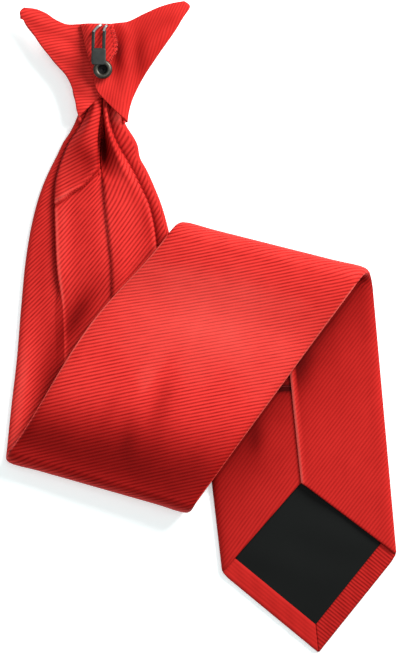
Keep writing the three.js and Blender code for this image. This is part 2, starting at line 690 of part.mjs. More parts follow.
// Clip: one bent spring strip, two arms round a slot above a solid plate, whose upper
// ends are turned over the knot's top edge
const clipTop = tabTopRise + tabWall / 2 + layerGap + clipMetal / 2;
const clipPlaceX = -0.06 * halfSpan;
const armLow = tabLevel + tabWall / 2 + layerGap + clipMetal / 2;
const plateLow = eyeletLow + eyeletHeight + layerGap + clipMetal / 2;
const ribbon = (places, width) =>
  clothWall(
    places.map(([across, rise, height, share = 1]) =>
      [-0.5, 0.5].map((side) => knotPoint(clipPlaceX + across + side * width * share, rise, height)),
    ),
    clipMetal,
  );
const plateTop = clipTop - clipLength + clipPlate;
const clipEnd = clipTop - clipLength;
const plateRibbon = ribbon(
  [
    [0, clipEnd, plateLow, 0.72],
    [0, clipEnd + clipRound / 2, plateLow, 0.96],
    [0, clipEnd + clipRound, plateLow],
    [0, plateTop, plateLow],
  ],
  clipWidth,
);
function armRibbon(side) {
  const armX = side * (clipWidth - clipArm) / 2;
  const hookX = armX * 0.72 + hookShift;
  return ribbon(
    [
      [armX, plateTop - armStep, plateLow],
      [armX, plateTop + armStep / 2, plateLow - 0.1],
      [armX, clipTop - hookRun, armLow + 0.5],
      [mix(armX, hookX, 0.45), clipTop - hookRun * 0.45, armLow + 0.1],
      [hookX, clipTop - 0.3, armLow - 0.4],
      [hookX, clipTop + 0.1, armLow - hookDrop * 0.4],
      [hookX, clipTop, armLow - hookDrop],
    ],
    clipArm,
  );
}
function solidOf(geometry) {
  const vertProperties = Float32Array.from(geometry.getAttribute("position").array);
  const triVerts = Uint32Array.from(geometry.getIndex().array);
  return new wasm.Manifold(new wasm.Mesh({ numProp: 3, vertProperties, triVerts }));
}
function geometryFrom(solid) {
  const mesh = solid.getMesh();
  const geometry = new THREE.BufferGeometry();
  geometry.setAttribute("position", new THREE.BufferAttribute(mesh.vertProperties, 3));
  geometry.setIndex(new THREE.BufferAttribute(mesh.triVerts, 1));
  geometry.computeVertexNormals();
  return geometry;
}
const clipBody = geometryFrom(
  solidOf(plateRibbon).add(solidOf(armRibbon(-1))).add(solidOf(armRibbon(1))),
);

// The pieces
const group = new THREE.Group();
function addPiece(name, geometry, finish) {
  const mesh = new THREE.Mesh(geometry, new THREE.MeshStandardMaterial(finish));
  mesh.name = name;
  group.add(mesh);
}
addPiece("blade", bladeBody, clothRed);
addPiece("tip_lining", tailPlate(liningOutline, liningLow, liningHigh), liningBlack);
addPiece("tip_hem", tailPlate(hemOutline, liningLow, liningHigh), deepRed);
addPiece("knot_cover", clothWall(coverMiddle, coverWall), clothRed);
addPiece("left_wing", clothWall(leftWingMiddle, wingWall), clothRed);
addPiece("right_wing", clothWall(rightWingMiddle, wingWall), clothRed);
addPiece("clip_tab", clothWall(tabMiddle, tabWall), clothRed);
addPiece("clip_eyelet", eyeletRing(), darkSteel);
addPiece("spring_clip", clipBody, greySteel);

// Origin under the middle of the tie, on the table
group.updateMatrixWorld(true);
const box = new THREE.Box3().setFromObject(group);
const middle = box.getCenter(new THREE.Vector3());
group.children.forEach((mesh) => mesh.geometry.translate(-middle.x, -middle.y, -box.min.z));

export default group;
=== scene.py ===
# A red clip-on necktie laid out on a white table, back of the knot up.
# The cloth is modelled in millimetres along its own folds; meshes are made in metres.

import math

import bpy
import numpy as np
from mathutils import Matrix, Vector


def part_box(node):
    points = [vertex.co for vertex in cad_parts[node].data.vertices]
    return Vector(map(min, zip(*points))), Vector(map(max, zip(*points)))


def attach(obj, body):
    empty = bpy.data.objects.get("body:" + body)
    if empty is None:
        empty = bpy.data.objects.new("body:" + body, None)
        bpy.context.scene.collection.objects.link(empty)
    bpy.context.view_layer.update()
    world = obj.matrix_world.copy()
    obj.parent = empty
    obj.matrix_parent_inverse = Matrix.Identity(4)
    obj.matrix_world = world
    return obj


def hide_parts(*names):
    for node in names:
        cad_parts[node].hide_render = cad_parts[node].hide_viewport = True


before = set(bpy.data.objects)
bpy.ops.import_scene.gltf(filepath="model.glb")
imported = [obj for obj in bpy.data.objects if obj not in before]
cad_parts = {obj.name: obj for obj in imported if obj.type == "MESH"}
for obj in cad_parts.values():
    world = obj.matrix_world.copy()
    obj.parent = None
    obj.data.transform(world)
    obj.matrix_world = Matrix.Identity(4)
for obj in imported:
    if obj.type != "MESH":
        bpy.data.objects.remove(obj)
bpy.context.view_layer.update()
print("frame loaded")

mm = 0.001
scene = bpy.context.scene

# Camera and light
view = {
    "height": 300.4,  # what the picture covers on the table
    "centre": (-0.64, -0.12),
    "distance": 1500.0,
    "plane": 5.0,  # height at which the scale holds
    "clip": (0.01, 20),
}


def makeCamera():
    data = bpy.data.cameras.new("camera")
    data.lens = data.sensor_width * view["distance"] / view["height"]
    data.clip_start, data.clip_end = view["clip"]
    camera = bpy.data.objects.new("camera", data)
    x, y = view["centre"]
    camera.location = (x * mm, y * mm, (view["distance"] + view["plane"]) * mm)
    scene.collection.objects.link(camera)
    scene.camera = camera


lights = {
    "key": {"place": (0.5, 0.56, 0.52), "size": 0.5, "power": 16.0, "colour": (1, 0.985, 0.96)},
    "fill": {"place": (-0.5, -0.2, 0.9), "size": 1.0, "power": 1.2, "colour": (0.96, 0.98, 1)},
    "top": {"place": (0.0, 0.1, 1.2), "size": 0.8, "power": 3.0, "colour": (1, 1, 1)},
}
surround = {"Color": (1, 1, 1, 1), "Strength": 0.34}


def setInputs(node, values):
    for name, value in values.items():
        node.inputs[name].default_value = value


def makeLights():
    for name, light in lights.items():
        data = bpy.data.lights.new(name, "AREA")
        data.shape = "DISK"
        data.size = light["size"]
        data.energy = light["power"]
        data.color = light["colour"]
        lamp = bpy.data.objects.new(name, data)
        lamp.location = light["place"]
        lamp.rotation_euler = Vector(light["place"]).to_track_quat("Z", "Y").to_euler()
        scene.collection.objects.link(lamp)
    world = bpy.data.worlds.new("studio")
    world.use_nodes = True
    setInputs(world.node_tree.nodes["Background"], surround)
    scene.world = world
    scene.view_settings.view_transform = "Standard"


makeCamera()
makeLights()
print("camera and lights")


# Materials
def newMaterial(name):
    material = bpy.data.materials.new(name)
    material.use_nodes = True
    return material, material.node_tree, material.node_tree.nodes["Principled BSDF"]


def addNode(tree, kind, **settings):
    node = tree.nodes.new(kind)
    for key, value in settings.items():
        setattr(node, key, value)
    return node


def plug(tree, source, target):
    if hasattr(source, "is_output"):
        tree.links.new(source, target)
    else:
        target.default_value = source


def maths(tree, operation, first, second=0.0, third=0.0):
    node = addNode(tree, "ShaderNodeMath", operation=operation)
    for value, socket in zip((first, second, third), node.inputs):
        plug(tree, value, socket)
    return node.outputs[0]


def mixColours(tree, share, first, second, blend="MIX"):
    node = addNode(tree, "ShaderNodeMix", data_type="RGBA", blend_type=blend)
    plug(tree, share, node.inputs["Factor"])
    plug(tree, first, node.inputs["A"])
    plug(tree, second, node.inputs["B"])
    return node.outputs["Result"]


def clamped(tree, value):
    node = addNode(tree, "ShaderNodeClamp")
    plug(tree, value, node.inputs["Value"])
    return node.outputs["Result"]


def addNoise(tree, vector, scale, detail=2.0, roughness=0.5):
    node = addNode(tree, "ShaderNodeTexNoise")
    setInputs(node, {"Scale": scale, "Detail": detail, "Roughness": roughness})
    tree.links.new(vector, node.inputs["Vector"])
    return node.outputs["Fac"]


def stretch(tree, vector, scale):
    node = addNode(tree, "ShaderNodeMapping")
    node.inputs["Scale"].default_value = scale
    tree.links.new(vector, node.inputs["Vector"])
    return node.outputs["Vector"]


def addRelief(tree, shader, height, strength, distance):  # low relief, distance in millimetres
    node = addNode(tree, "ShaderNodeBump")
    setInputs(node, {"Strength": strength, "Distance": distance * mm})
    tree.links.new(height, node.inputs["Height"])
    tree.links.new(node.outputs["Normal"], shader.inputs["Normal"])


# Ribbed satin. The UV map holds the cloth's own millimetres, x along a rib and y across
satin = {
    "ribPitch": 1.5,
    "ribDepth": 0.10,
    "rib": (0.68, 0.036, 0.030, 1),
    "groove": (0.17, 0.002, 0.002, 1),
    "grooveShare": 0.72,  # how much of the groove colour shows
    "shadeColour": (0.04, 0.0002, 0.0002, 1),
    "deepening": (1, 0.3, 0.3, 1),  # a shaded red is also a purer one
    "litColour": (0.95, 0.16, 0.13, 1),
    "roughness": 0.46,
    "grooveRoughness": 0.16,
    "threadRoughness": 0.08,
    "noises": {  # stretch along and across the ribs, detail, roughness
        "wander": ((0.05, 0.12, 1), 2.0, 0.5),
        "threads": ((4.5, 0.9, 1), 3.0, 0.6),
        "slub": ((0.16, 1.1, 1), 2.0, 0.5),
        "patches": ((0.05, 0.05, 1), 2.0, 0.5),
    },
    "wander": 0.5,  # how far a rib strays from its line
    "ribPower": 0.8,
    "slubShare": (1.2, 0.4),
    "deepenBy": 1.1,
    "patchTone": 0.16,
    "threadTone": 0.10,
    "threadHeight": 0.22,
    "reliefStrength": 0.4,
    "finish": {
        "Sheen Weight": 0.004,
        "Sheen Roughness": 0.4,
        "Sheen Tint": (1, 0.45, 0.4, 1),
        "Specular IOR Level": 0.04,
    },
}


def makeSatin(name, depth=1.0, contrast=1.0):
    material, tree, shader = newMaterial(name)
    uv = addNode(tree, "ShaderNodeUVMap", uv_map="cloth").outputs["UV"]
    along, across, _ = addNode(tree, "ShaderNodeSeparateXYZ").outputs
    tree.links.new(uv, along.node.inputs[0])
    noises = {
        key: addNoise(tree, stretch(tree, uv, scale), 1.0, detail, roughness)
        for key, (scale, detail, roughness) in satin["noises"].items()
    }
    threads = noises["threads"]
    bent = maths(tree, "MULTIPLY_ADD", noises["wander"], satin["wander"], across)
    turn = maths(tree, "MULTIPLY", bent, 2 * math.pi / satin["ribPitch"])
    wave = maths(tree, "MULTIPLY_ADD", maths(tree, "SINE", turn), 0.5, 0.5)
    ribShape = maths(tree, "POWER", wave, satin["ribPower"])
    grooves = maths(tree, "SUBTRACT", 1.0, ribShape)
    share = maths(tree, "MULTIPLY", grooves, satin["grooveShare"] * contrast)
    slub = maths(tree, "MULTIPLY_ADD", noises["slub"], *satin["slubShare"])
    share = maths(tree, "MULTIPLY", share, slub)
    colour = mixColours(tree, share, satin["rib"], satin["groove"])
    # painted light and shade: above 0 the shade attribute darkens and deepens the red as painted shade,
    # below 0 it lightens it as painted light; random patches and threads vary it
    shade = addNode(tree, "ShaderNodeAttribute", attribute_name="shade").outputs["Fac"]
    for noise, reach in ((noises["patches"], satin["patchTone"]), (threads, satin["threadTone"])):
        around = maths(tree, "MULTIPLY_ADD", noise, reach, -reach / 2)
        shade = maths(tree, "ADD", shade, around)
    deep = clamped(tree, maths(tree, "MULTIPLY", shade, satin["deepenBy"]))
    colour = mixColours(tree, deep, colour, satin["deepening"], "MULTIPLY")
    colour = mixColours(tree, clamped(tree, shade), colour, satin["shadeColour"])
    lit = clamped(tree, maths(tree, "MULTIPLY", shade, -1.0))
    colour = mixColours(tree, lit, colour, satin["litColour"])
    tree.links.new(colour, shader.inputs["Base Color"])
    rough = maths(tree, "MULTIPLY_ADD", grooves, satin["grooveRoughness"], satin["roughness"])
    rough = maths(tree, "MULTIPLY_ADD", threads, satin["threadRoughness"], rough)
    tree.links.new(rough, shader.inputs["Roughness"])
    setInputs(shader, satin["finish"])
    height = maths(tree, "MULTIPLY_ADD", threads, satin["threadHeight"], ribShape)
    addRelief(tree, shader, height, satin["reliefStrength"] * depth, satin["ribDepth"])
    return material


liningLook = {
    "weave": (3500, 1400, 1),  # threads to the metre each way
    "dark": (0.0022, 0.0026, 0.0025, 1),
    "light": (0.0065, 0.0078, 0.0074, 1),
    "roughness": 0.5,
    "specular": 0.08,
    "reliefStrength": 0.25,
    "threadDepth": 0.04,
}


def makeLiningCloth(name):
    material, tree, shader = newMaterial(name)
    place = addNode(tree, "ShaderNodeTexCoord").outputs["Object"]
    threads = addNoise(tree, stretch(tree, place, liningLook["weave"]), 1.0, 3.0, 0.6)
    patches = addNoise(tree, place, 28.0, 2.0)
    share = maths(tree, "MULTIPLY_ADD", patches, 0.6, maths(tree, "MULTIPLY", threads, 0.3))
    colour = mixColours(tree, share, liningLook["dark"], liningLook["light"])
    tree.links.new(colour, shader.inputs["Base Color"])
    rough = maths(tree, "MULTIPLY_ADD", threads, 0.15, liningLook["roughness"])
    tree.links.new(rough, shader.inputs["Roughness"])
    shader.inputs["Specular IOR Level"].default_value = liningLook["specular"]
    addRelief(tree, shader, threads, liningLook["reliefStrength"], liningLook["threadDepth"])
    return material


metals = {  # wear says how much brighter the rubbed edges are
    "darkSteel": {
        "bright": (0.06, 0.066, 0.063, 1),
        "dark": (0.015, 0.018, 0.017, 1),
        "roughness": 0.36,
        "wear": 5.0,
    },
    "ringSteel": {
        "bright": (0.16, 0.15, 0.125, 1),
        "dark": (0.03, 0.03, 0.025, 1),
        "roughness": 0.3,
        "wear": 5.0,
    },
    # near-black steel for the floor of the eyelet's hollow: painted shade where the hole lies in shadow
    "shadedHollowSteel": {
        "bright": (0.012, 0.012, 0.012, 1),
        "dark": (0.003, 0.003, 0.003, 1),
        "roughness": 0.5,
        "wear": 1.0,
    },
    "brightSteel": {
        "bright": (0.5, 0.49, 0.48, 1),
        "dark": (0.1, 0.1, 0.1, 1),
        "roughness": 0.26,
        "wear": 6.0,
    },
}


def makeMetal(name, bright, dark, roughness, wear):
    material, tree, shader = newMaterial(name)
    place = addNode(tree, "ShaderNodeTexCoord").outputs["Object"]
    blotch = addNoise(tree, place, 420.0, 4.0, 0.6)
    scratch = addNoise(tree, stretch(tree, place, (6000, 500, 2000)), 1.0, 2.0)
    edge = addNode(tree, "ShaderNodeNewGeometry").outputs["Pointiness"]
    rubbed = maths(tree, "MULTIPLY", maths(tree, "SUBTRACT", edge, 0.5), wear)
    share = maths(tree, "ADD", maths(tree, "MULTIPLY", blotch, 0.6), rubbed)
    colour = mixColours(tree, clamped(tree, share), dark, bright)
    tree.links.new(colour, shader.inputs["Base Color"])
    shader.inputs["Metallic"].default_value = 0.9
    rough = maths(tree, "MULTIPLY_ADD", scratch, 0.2, roughness)
    tree.links.new(rough, shader.inputs["Roughness"])
    addRelief(tree, shader, blotch, 0.15, 0.05)
    return material


tableLook = {
    "size": 6,
    "drop": 0.0002,  # keeps it clear of the cloth that lies on it
    "colours": ((0.85, 0.93, 0.93, 1), (0.88, 0.96, 0.96, 1)),
    "finish": {
        "Roughness": 0.7,
        "Emission Color": (0.9, 1, 1, 1),
        "Emission Strength": 0.36,
    },
}


def makeTable():
    material, tree, shader = newMaterial("tableTop")
    place = addNode(tree, "ShaderNodeTexCoord").outputs["Object"]
    grain = addNoise(tree, place, 30.0, 3.0)
    colour = mixColours(tree, grain, *tableLook["colours"])
    tree.links.new(colour, shader.inputs["Base Color"])
    setInputs(shader, tableLook["finish"])
    bpy.ops.mesh.primitive_plane_add(size=tableLook["size"], location=(0, 0, -tableLook["drop"]))
    top = bpy.context.object
    top.name = "table"
    top.data.materials.append(material)


makeTable()
blackLining = makeLiningCloth("blackLining")
redSatin = makeSatin("redSatin")
tailSatin = makeSatin("tailSatin", contrast=0.6, depth=0.6)
wingSatin = makeSatin("wingSatin", contrast=0.8, depth=0.8)
softSatin = makeSatin("softSatin", contrast=0.55, depth=0.6)
hemSatin = makeSatin("hemSatin", contrast=0.3, depth=0.4)
steel = {name: makeMetal(name, **look) for name, look in metals.items()}
print("materials and table")


# Curves and surfaces, in millimetres
def unit(degrees):
    turn = math.radians(degrees)
    return np.array([math.cos(turn), math.sin(turn), 0.0])


def leftOf(direction):
    return np.array([-direction[1], direction[0], 0.0])


def mix(a, b, t):
    return a + (b - a) * t


def smooth(t):
    t = np.clip(t, 0.0, 1.0)
    return t * t * (3 - 2 * t)


def bump(x, centre, reach):
    return np.exp(-(((x - centre) / reach) ** 2))


def bendTo(t, start, startSlope, end, endSlope):
    t2, t3 = t * t, t * t * t
    return (
        (2 * t3 - 3 * t2 + 1) * start
        + (t3 - 2 * t2 + t) * startSlope
        + (-2 * t3 + 3 * t2) * end
        + (t3 - t2) * endSlope
    )


def throughPoints(at, values, wanted):  # smooth curve through rows that never overshoots them
    at = np.asarray(at, float)
    values = np.asarray(values, float)
    gap = np.diff(at)
    shape = (-1,) + (1,) * (values.ndim - 1)
    rise = np.diff(values, axis=0) / gap.reshape(shape)
    slope = np.zeros_like(values)
    before, after = rise[:-1], rise[1:]
    w1 = (2 * gap[1:] + gap[:-1]).reshape(shape)
    w2 = (gap[1:] + 2 * gap[:-1]).reshape(shape)
    same = before * after > 0
    with np.errstate(divide="ignore", invalid="ignore"):
        inside = (w1 + w2) / (w1 / before + w2 / after)
    slope[1:-1] = np.where(same, inside, 0.0)
    slope[0], slope[-1] = rise[0], rise[-1]
    wanted = np.clip(np.asarray(wanted, float), at[0], at[-1])
    step = np.clip(np.searchsorted(at, wanted) - 1, 0, len(at) - 2)
    t = ((wanted - at[step]) / gap[step]).reshape(shape)
    width = gap[step].reshape(shape)
    return bendTo(t, values[step], width * slope[step], values[step + 1], width * slope[step + 1])


def evenCurve(rows, wanted):  # the same, with its rows evenly apart from 0 to 1
    return throughPoints(np.linspace(0, 1, len(rows)), rows, wanted)


def roundLine(points, parts):  # a bent line of cloth through its points, each stretch in parts
    points = np.asarray(points, float)
    first = 2 * points[0] - points[1]
    last = 2 * points[-1] - points[-2]
    padded = np.vstack([first, points, last])
    steps = np.sqrt(np.linalg.norm(np.diff(padded, axis=0), axis=1)) + 1e-6
    out = []
    for i in range(len(points) - 1):
        p0, p1, p2, p3 = padded[i : i + 4]
        d0, d1, d2 = steps[i : i + 3]
        m1 = d1 * ((p1 - p0) / d0 - (p2 - p0) / (d0 + d1) + (p2 - p1) / d1)
        m2 = d1 * ((p2 - p1) / d1 - (p3 - p1) / (d1 + d2) + (p3 - p2) / d2)
        out += [bendTo(k / parts[i], p1, m1, p2, m2) for k in range(parts[i])]
    out.append(points[-1])
    return np.array(out)


def normalsOf(grid):
    along = np.gradient(grid, axis=0)
    across = np.gradient(grid, axis=1)
    normal = np.cross(along, across)
    length = np.linalg.norm(normal, axis=2, keepdims=True)
    return normal / np.maximum(length, 1e-9)


def thinRim(rows, columns, least, ends=True):  # share of the wall left at a sheet's edges
    thin = np.ones((rows, columns))
    thin[:, [0, -1]] = least
    if ends:
        thin[[0, -1]] = least
    return thin


def makeWall(name, middle, wall, cloth, material, shade=None, thin=None, flip=False):
    # closed sheet of a given wall round a grid of its middle layer, with its cloth map
    rows, columns, _ = middle.shape
    normal = normalsOf(middle) * (-1 if flip else 1)
    thin = thinRim(rows, columns, 0.45) if thin is None else thin
    offset = normal * (wall / 2 * thin)[..., None]
    points = np.concatenate([(middle + offset).reshape(-1, 3), (middle - offset).reshape(-1, 3)])
    index = np.arange(rows * columns).reshape(rows, columns)
    a, b = index[:-1, :-1], index[:-1, 1:]
    c, d = index[1:, 1:], index[1:, :-1]
    front = np.stack([a, d, c, b], -1).reshape(-1, 4)
    back = np.stack([a, b, c, d], -1).reshape(-1, 4) + rows * columns
    sides = [front, back]
    for line, turned in (
        (index[0, :], False),
        (index[-1, :], True),
        (index[:, 0], True),
        (index[:, -1], False),
    ):
        p, q = line[:-1], line[1:]
        r, s = q + rows * columns, p + rows * columns
        quads = np.stack([p, q, r, s], -1) if not turned else np.stack([p, s, r, q], -1)
        sides.append(quads)
    faces = np.concatenate(sides)
    if not flip:
        faces = faces[:, ::-1]
    mesh = bpy.data.meshes.new(name)
    mesh.from_pydata((points * mm).tolist(), [], faces.tolist())
    uv = mesh.uv_layers.new(name="cloth")
    flat = np.concatenate([cloth.reshape(-1, 2)] * 2)
    loops = np.empty(len(mesh.loops), int)
    mesh.loops.foreach_get("vertex_index", loops)
    uv.data.foreach_set("uv", flat[loops].ravel())
    values = np.zeros(rows * columns) if shade is None else shade.ravel()
    stored = mesh.attributes.new("shade", "FLOAT", "POINT")
    stored.data.foreach_set("value", np.concatenate([values, values]).astype(float))
    mesh.materials.append(material)
    mesh.polygons.foreach_set("use_smooth", [True] * len(mesh.polygons))
    mesh.update()
    piece = bpy.data.objects.new(name, mesh)
    scene.collection.objects.link(piece)
    return piece


def ribMap(across, rise, angle, pitch=satin["ribPitch"]):
    # cloth map whose x runs along a rib, at an angle to the way across, and y over the ribs
    turn = math.radians(angle)
    size = satin["ribPitch"] / pitch
    along = across * math.cos(turn) + rise * math.sin(turn)
    return np.stack([along, rise * math.cos(turn) - across * math.sin(turn)], -1) * size


# The blade, from its end in the knot over both folds to its pointed tip
blade = {
    "wall": 0.95,
    "shellWall": 1.0,
    "liningWall": 1.0,
    "layerGap": 0.3,
    "foldWidth": 84.0,
    "cornerWidth": 80.0,
    "tipDepth": 40.5,
    "hangRun": 176.0,
    "crossRun": 124.2,
    "tailRun": 138.8,
    "hangAngle": -90.6,
    "crossAngle": 53.8,
    "tailAngle": -84.1,
    "lowerFoldAngle": -16.0,
    "upperFoldAngle": -14.4,
    "seamLap": 4.0,
    "tipOpening": 37.2,
    "lowerLoop": {"left": (7.0, 3.8), "right": (11.0, 3.5)},
    "upperLoop": {"left": (12.0, 5.6), "right": (13.0, 6.0)},
    "lowerEase": 46.0,
    "upperEase": 40.0,
    "lowerSlip": 0.6,
    "upperSlip": 1.1,
    "edgeBow": 4.5,
    "edgeBowAt": 0.55,
    "ridgeHeight": 9.6,
    "tuckDepth": 8.0,
    "bladeInsert": 14.7,
    "ribAngle": 42.0,
}
layerRise = blade["shellWall"] + blade["layerGap"]
halfInner = (blade["liningWall"] + 2 * blade["layerGap"] + blade["shellWall"]) / 2
halfBlade = halfInner + blade["shellWall"] / 2
restLow = halfBlade
restHigh = restLow + 2 * halfBlade + 2 * layerRise + blade["layerGap"]
up = np.array([0.0, 0.0, 1.0])

hangDir = unit(blade["hangAngle"])
crossDir = unit(blade["crossAngle"])
tailDir = unit(blade["tailAngle"])
lowerAxis = unit(blade["lowerFoldAngle"])
upperAxis = unit(blade["upperFoldAngle"])
lowerOut = -leftOf(lowerAxis)
upperOut = leftOf(upperAxis)
bladeRun = blade["crossRun"] + blade["tailRun"]


def widthAt(run):
    return mix(blade["foldWidth"], blade["cornerWidth"], run / bladeRun)


upperWidth = widthAt(blade["crossRun"])


def foldReach(width, direction, axis):
    return width / 2 / abs(leftOf(direction) @ axis)


def foldSlide(loop, side, direction, axis, share):
    height, bulge = blade[loop][side]
    return math.pi * (height / 2 + bulge) / 2 * abs(direction @ axis) * share


sides = ("left", "right")
lowerCentre = np.array([0.0, 0.0, restLow])
lowerReach = foldReach(blade["foldWidth"], hangDir, lowerAxis)
lowerSlide = {
    side: foldSlide("lowerLoop", side, hangDir, lowerAxis, blade["lowerSlip"]) for side in sides
}
lowerStart = {
    "left": lowerCentre - lowerAxis * lowerReach,
    "right": lowerCentre + lowerAxis * lowerReach,
}
lowerEnd = {side: lowerStart[side] + lowerAxis * lowerSlide[side] for side in sides}
crossStart = (lowerEnd["left"] + lowerEnd["right"]) / 2
crossEnd = crossStart + crossDir * blade["crossRun"]
upperReach = foldReach(upperWidth, crossDir, upperAxis)
upperSlide = {
    side: foldSlide("upperLoop", side, crossDir, upperAxis, blade["upperSlip"]) for side in sides
}
upperStart = {
    "left": crossEnd - upperAxis * upperReach,
    "right": crossEnd + upperAxis * upperReach,
}
upperEnd = {side: upperStart[side] + upperAxis * upperSlide[side] for side in sides}
tailStart = (upperEnd["left"] + upperEnd["right"]) / 2
tailSide = leftOf(tailDir)
cornerCentre = tailStart + tailDir * blade["tailRun"]
corner = {
    "left": cornerCentre - tailSide * blade["cornerWidth"] / 2,
    "right": cornerCentre + tailSide * blade["cornerWidth"] / 2,
}
hangTop = lowerCentre - hangDir * blade["hangRun"]
hangSide = leftOf(hangDir)
mouth = hangTop + hangDir * blade["bladeInsert"]

# Across the blade where it lies flat, as shares of its width
flatFlap = {"left": (0.5, 0.4, 0.28), "right": (0.5, 0.68, 0.8)}


def flapLine(edge, crease, lobe, ridge, end, nearEnd, flank, crest, valley, endRise, tuck):
    half = layerRise / 2
    folded = tuck > 2 * half + 0.4
    top = flank + 2 * layerRise if folded else max(flank, crest)
    if folded:
        pleat = [
            (crease + half, top),
            (crease, top - half),
            (crease + half, top - layerRise),
            (crease + tuck - half, top - layerRise),
            (crease + tuck, top - layerRise - half),
            (crease + tuck - half, flank),
        ]
    else:
        spots = (0.5, 0.3, 0.1, -0.1, -0.3, -0.5)
        pleat = [(crease + x * 4.2, mix(top, flank, i / 5)) for i, x in enumerate(spots)]
    last = pleat[-1][0]
    rim = (ridge, mix(valley + endRise, crest, 0.8))
    line = [(end, valley + endRise), (nearEnd, valley + endRise), rim, (lobe, crest)]
    return line + pleat + [(mix(edge + halfInner, last, 0.5), flank), (edge + halfInner, flank)]


def bladeSection(row):
    lap = row["lap"]
    gap = 0 if lap > 0 else blade["layerGap"] / 2
    shared = {key: row[key] for key in ("flank", "crest", "valley")}
    left = flapLine(
        edge=row["leftEdge"],
        crease=row["leftCrease"],
        lobe=row["leftLobe"],
        ridge=row["leftRidge"],
        end=row["seam"] + lap - gap,
        nearEnd=max(row["leftRidge"] + blade["layerGap"], row["seam"] - 2.4),
        endRise=0,
        tuck=row["leftTuck"],
        **shared,
    )
    right = flapLine(
        edge=-row["rightEdge"],
        crease=-row["rightCrease"],
        lobe=-row["rightLobe"],
        ridge=-row["rightRidge"],
        end=-row["seam"] - gap,
        nearEnd=-min(row["rightRidge"] - blade["layerGap"], row["seam"] + (lap + 1 if lap > 0 else 1.2)),
        endRise=layerRise if lap > 0 else 0,
        tuck=row["rightTuck"],
        **shared,
    )
    right = [(-x, y) for x, y in right][::-1]
    low, high = row["leftEdge"], row["rightEdge"]
    front = [(mix(low + halfInner, high - halfInner, i / 6), 0.0) for i in range(7)]
    middle = row["flank"] / 2
    return np.array(left + [(low, middle)] + front + [(high, middle)] + right)


# Rows of the hanging run: along in mm from its top end, across as shares of half the fold
# width, heights as shares of ridgeHeight, tucks as shares of tuckDepth
columnNames = (
    "along leftEdge leftCrease leftLobe leftRidge seam rightRidge rightLobe rightCrease rightEdge"
    " base flank crest valley leftTuck rightTuck lap"
).split()
hangRows = [
    (0, -0.2, -0.13, -0.07, -0.02, -0.01, 0.02, 0.05, 0.07, 0.17, 0.32, 0.16, 0.62, 0.1, 0.3, 0.2, 0),
    (3.3, -0.21, -0.13, -0.07, -0.02, -0.01, 0.02, 0.05, 0.07, 0.17, 0.32, 0.16, 0.7, 0.1, 0.3, 0.2, 0),
    (7, -0.23, -0.14, -0.075, -0.022, -0.008, 0.022, 0.04, 0.065, 0.18, 0.3, 0.16, 0.78, 0.06, 0.35,
     0.22, 0),
    (10.6, -0.26, -0.175, -0.1, -0.035, 0, 0.032, 0.05, 0.075, 0.21, 0.28, 0.17, 0.85, 0.06, 0.45, 0.25, 0),
    (14.8, -0.3, -0.225, -0.13, -0.048, 0, 0.045, 0.06, 0.09, 0.25, 0.26, 0.18, 0.88, 0.08, 0.6, 0.35, 0),
    (18.2, -0.34, -0.275, -0.16, -0.058, 0, 0.055, 0.08, 0.115, 0.29, 0.24, 0.18, 0.88, 0.1, 0.7, 0.45, 0),
    (23.4, -0.42, -0.355, -0.2, -0.065, -0.01, 0.085, 0.12, 0.17, 0.34, 0.2, 0.19, 0.86, 0.16, 0.9, 0.6, 0),
    (28.9, -0.48, -0.41, -0.23, -0.06, -0.02, 0.13, 0.175, 0.24, 0.39, 0.16, 0.2, 0.8, 0.3, 1, 0.9, 0),
    (34.9, -0.55, -0.46, -0.25, -0.05, -0.01, 0.18, 0.24, 0.33, 0.48, 0.11, 0.22, 0.74, 0.45, 1, 1, 0),
    (42.8, -0.63, -0.5, -0.27, -0.1, 0.02, 0.27, 0.35, 0.43, 0.57, 0.07, 0.24, 0.66, 0.54, 1, 1, 1),
    (52, -0.7, -0.51, -0.27, -0.14, 0.04, 0.32, 0.42, 0.53, 0.66, 0.03, 0.26, 0.61, 0.56, 0.9, 0.9, 1),
    (65.7, -0.77, -0.5, -0.28, -0.14, 0.08, 0.34, 0.46, 0.6, 0.75, 0, 0.27, 0.56, 0.54, 0.6, 0.6, 1),
    (81, -0.82, -0.48, -0.27, -0.12, 0.12, 0.36, 0.48, 0.63, 0.82, 0, 0.27, 0.54, 0.54, 0.3, 0.3, 1),
    (102.1, -0.86, -0.45, -0.25, -0.1, 0.13, 0.36, 0.5, 0.63, 0.86, 0, 0.27, 0.38, 0.35, 0, 0, 1),
    (127.6, -0.9, -0.43, -0.25, -0.1, 0.1, 0.34, 0.48, 0.62, 0.91, 0, 0.27, 0.33, 0.31, 0, 0, 1),
    (154.9, -0.96, -0.43, -0.26, -0.13, 0.04, 0.32, 0.46, 0.61, 0.97, 0, 0.27, 0.28, 0.27, 0, 0, 1),
]
foldHalf = blade["foldWidth"] / 2


def hangSection(values):
    row = dict(zip(columnNames, values))
    flank = max(2 * halfInner * (row["flank"] / 0.27 if row["base"] > 0 else 1), layerRise)
    rise = 2 * layerRise if row["leftTuck"] > 0 else 0
    for key in columnNames[1:10]:
        row[key] *= foldHalf
    row["crest"] = max(row["crest"] * blade["ridgeHeight"], flank + rise)
    floor = flank + rise if row["lap"] > 0 else 0.8
    row["valley"] = max(row["valley"] * blade["ridgeHeight"], floor)
    row["flank"] = flank
    row["leftTuck"] *= blade["tuckDepth"]
    row["rightTuck"] *= blade["tuckDepth"]
    row["lap"] *= blade["seamLap"]
    return bladeSection(row), row["base"] * blade["ridgeHeight"] + blade["shellWall"] / 2


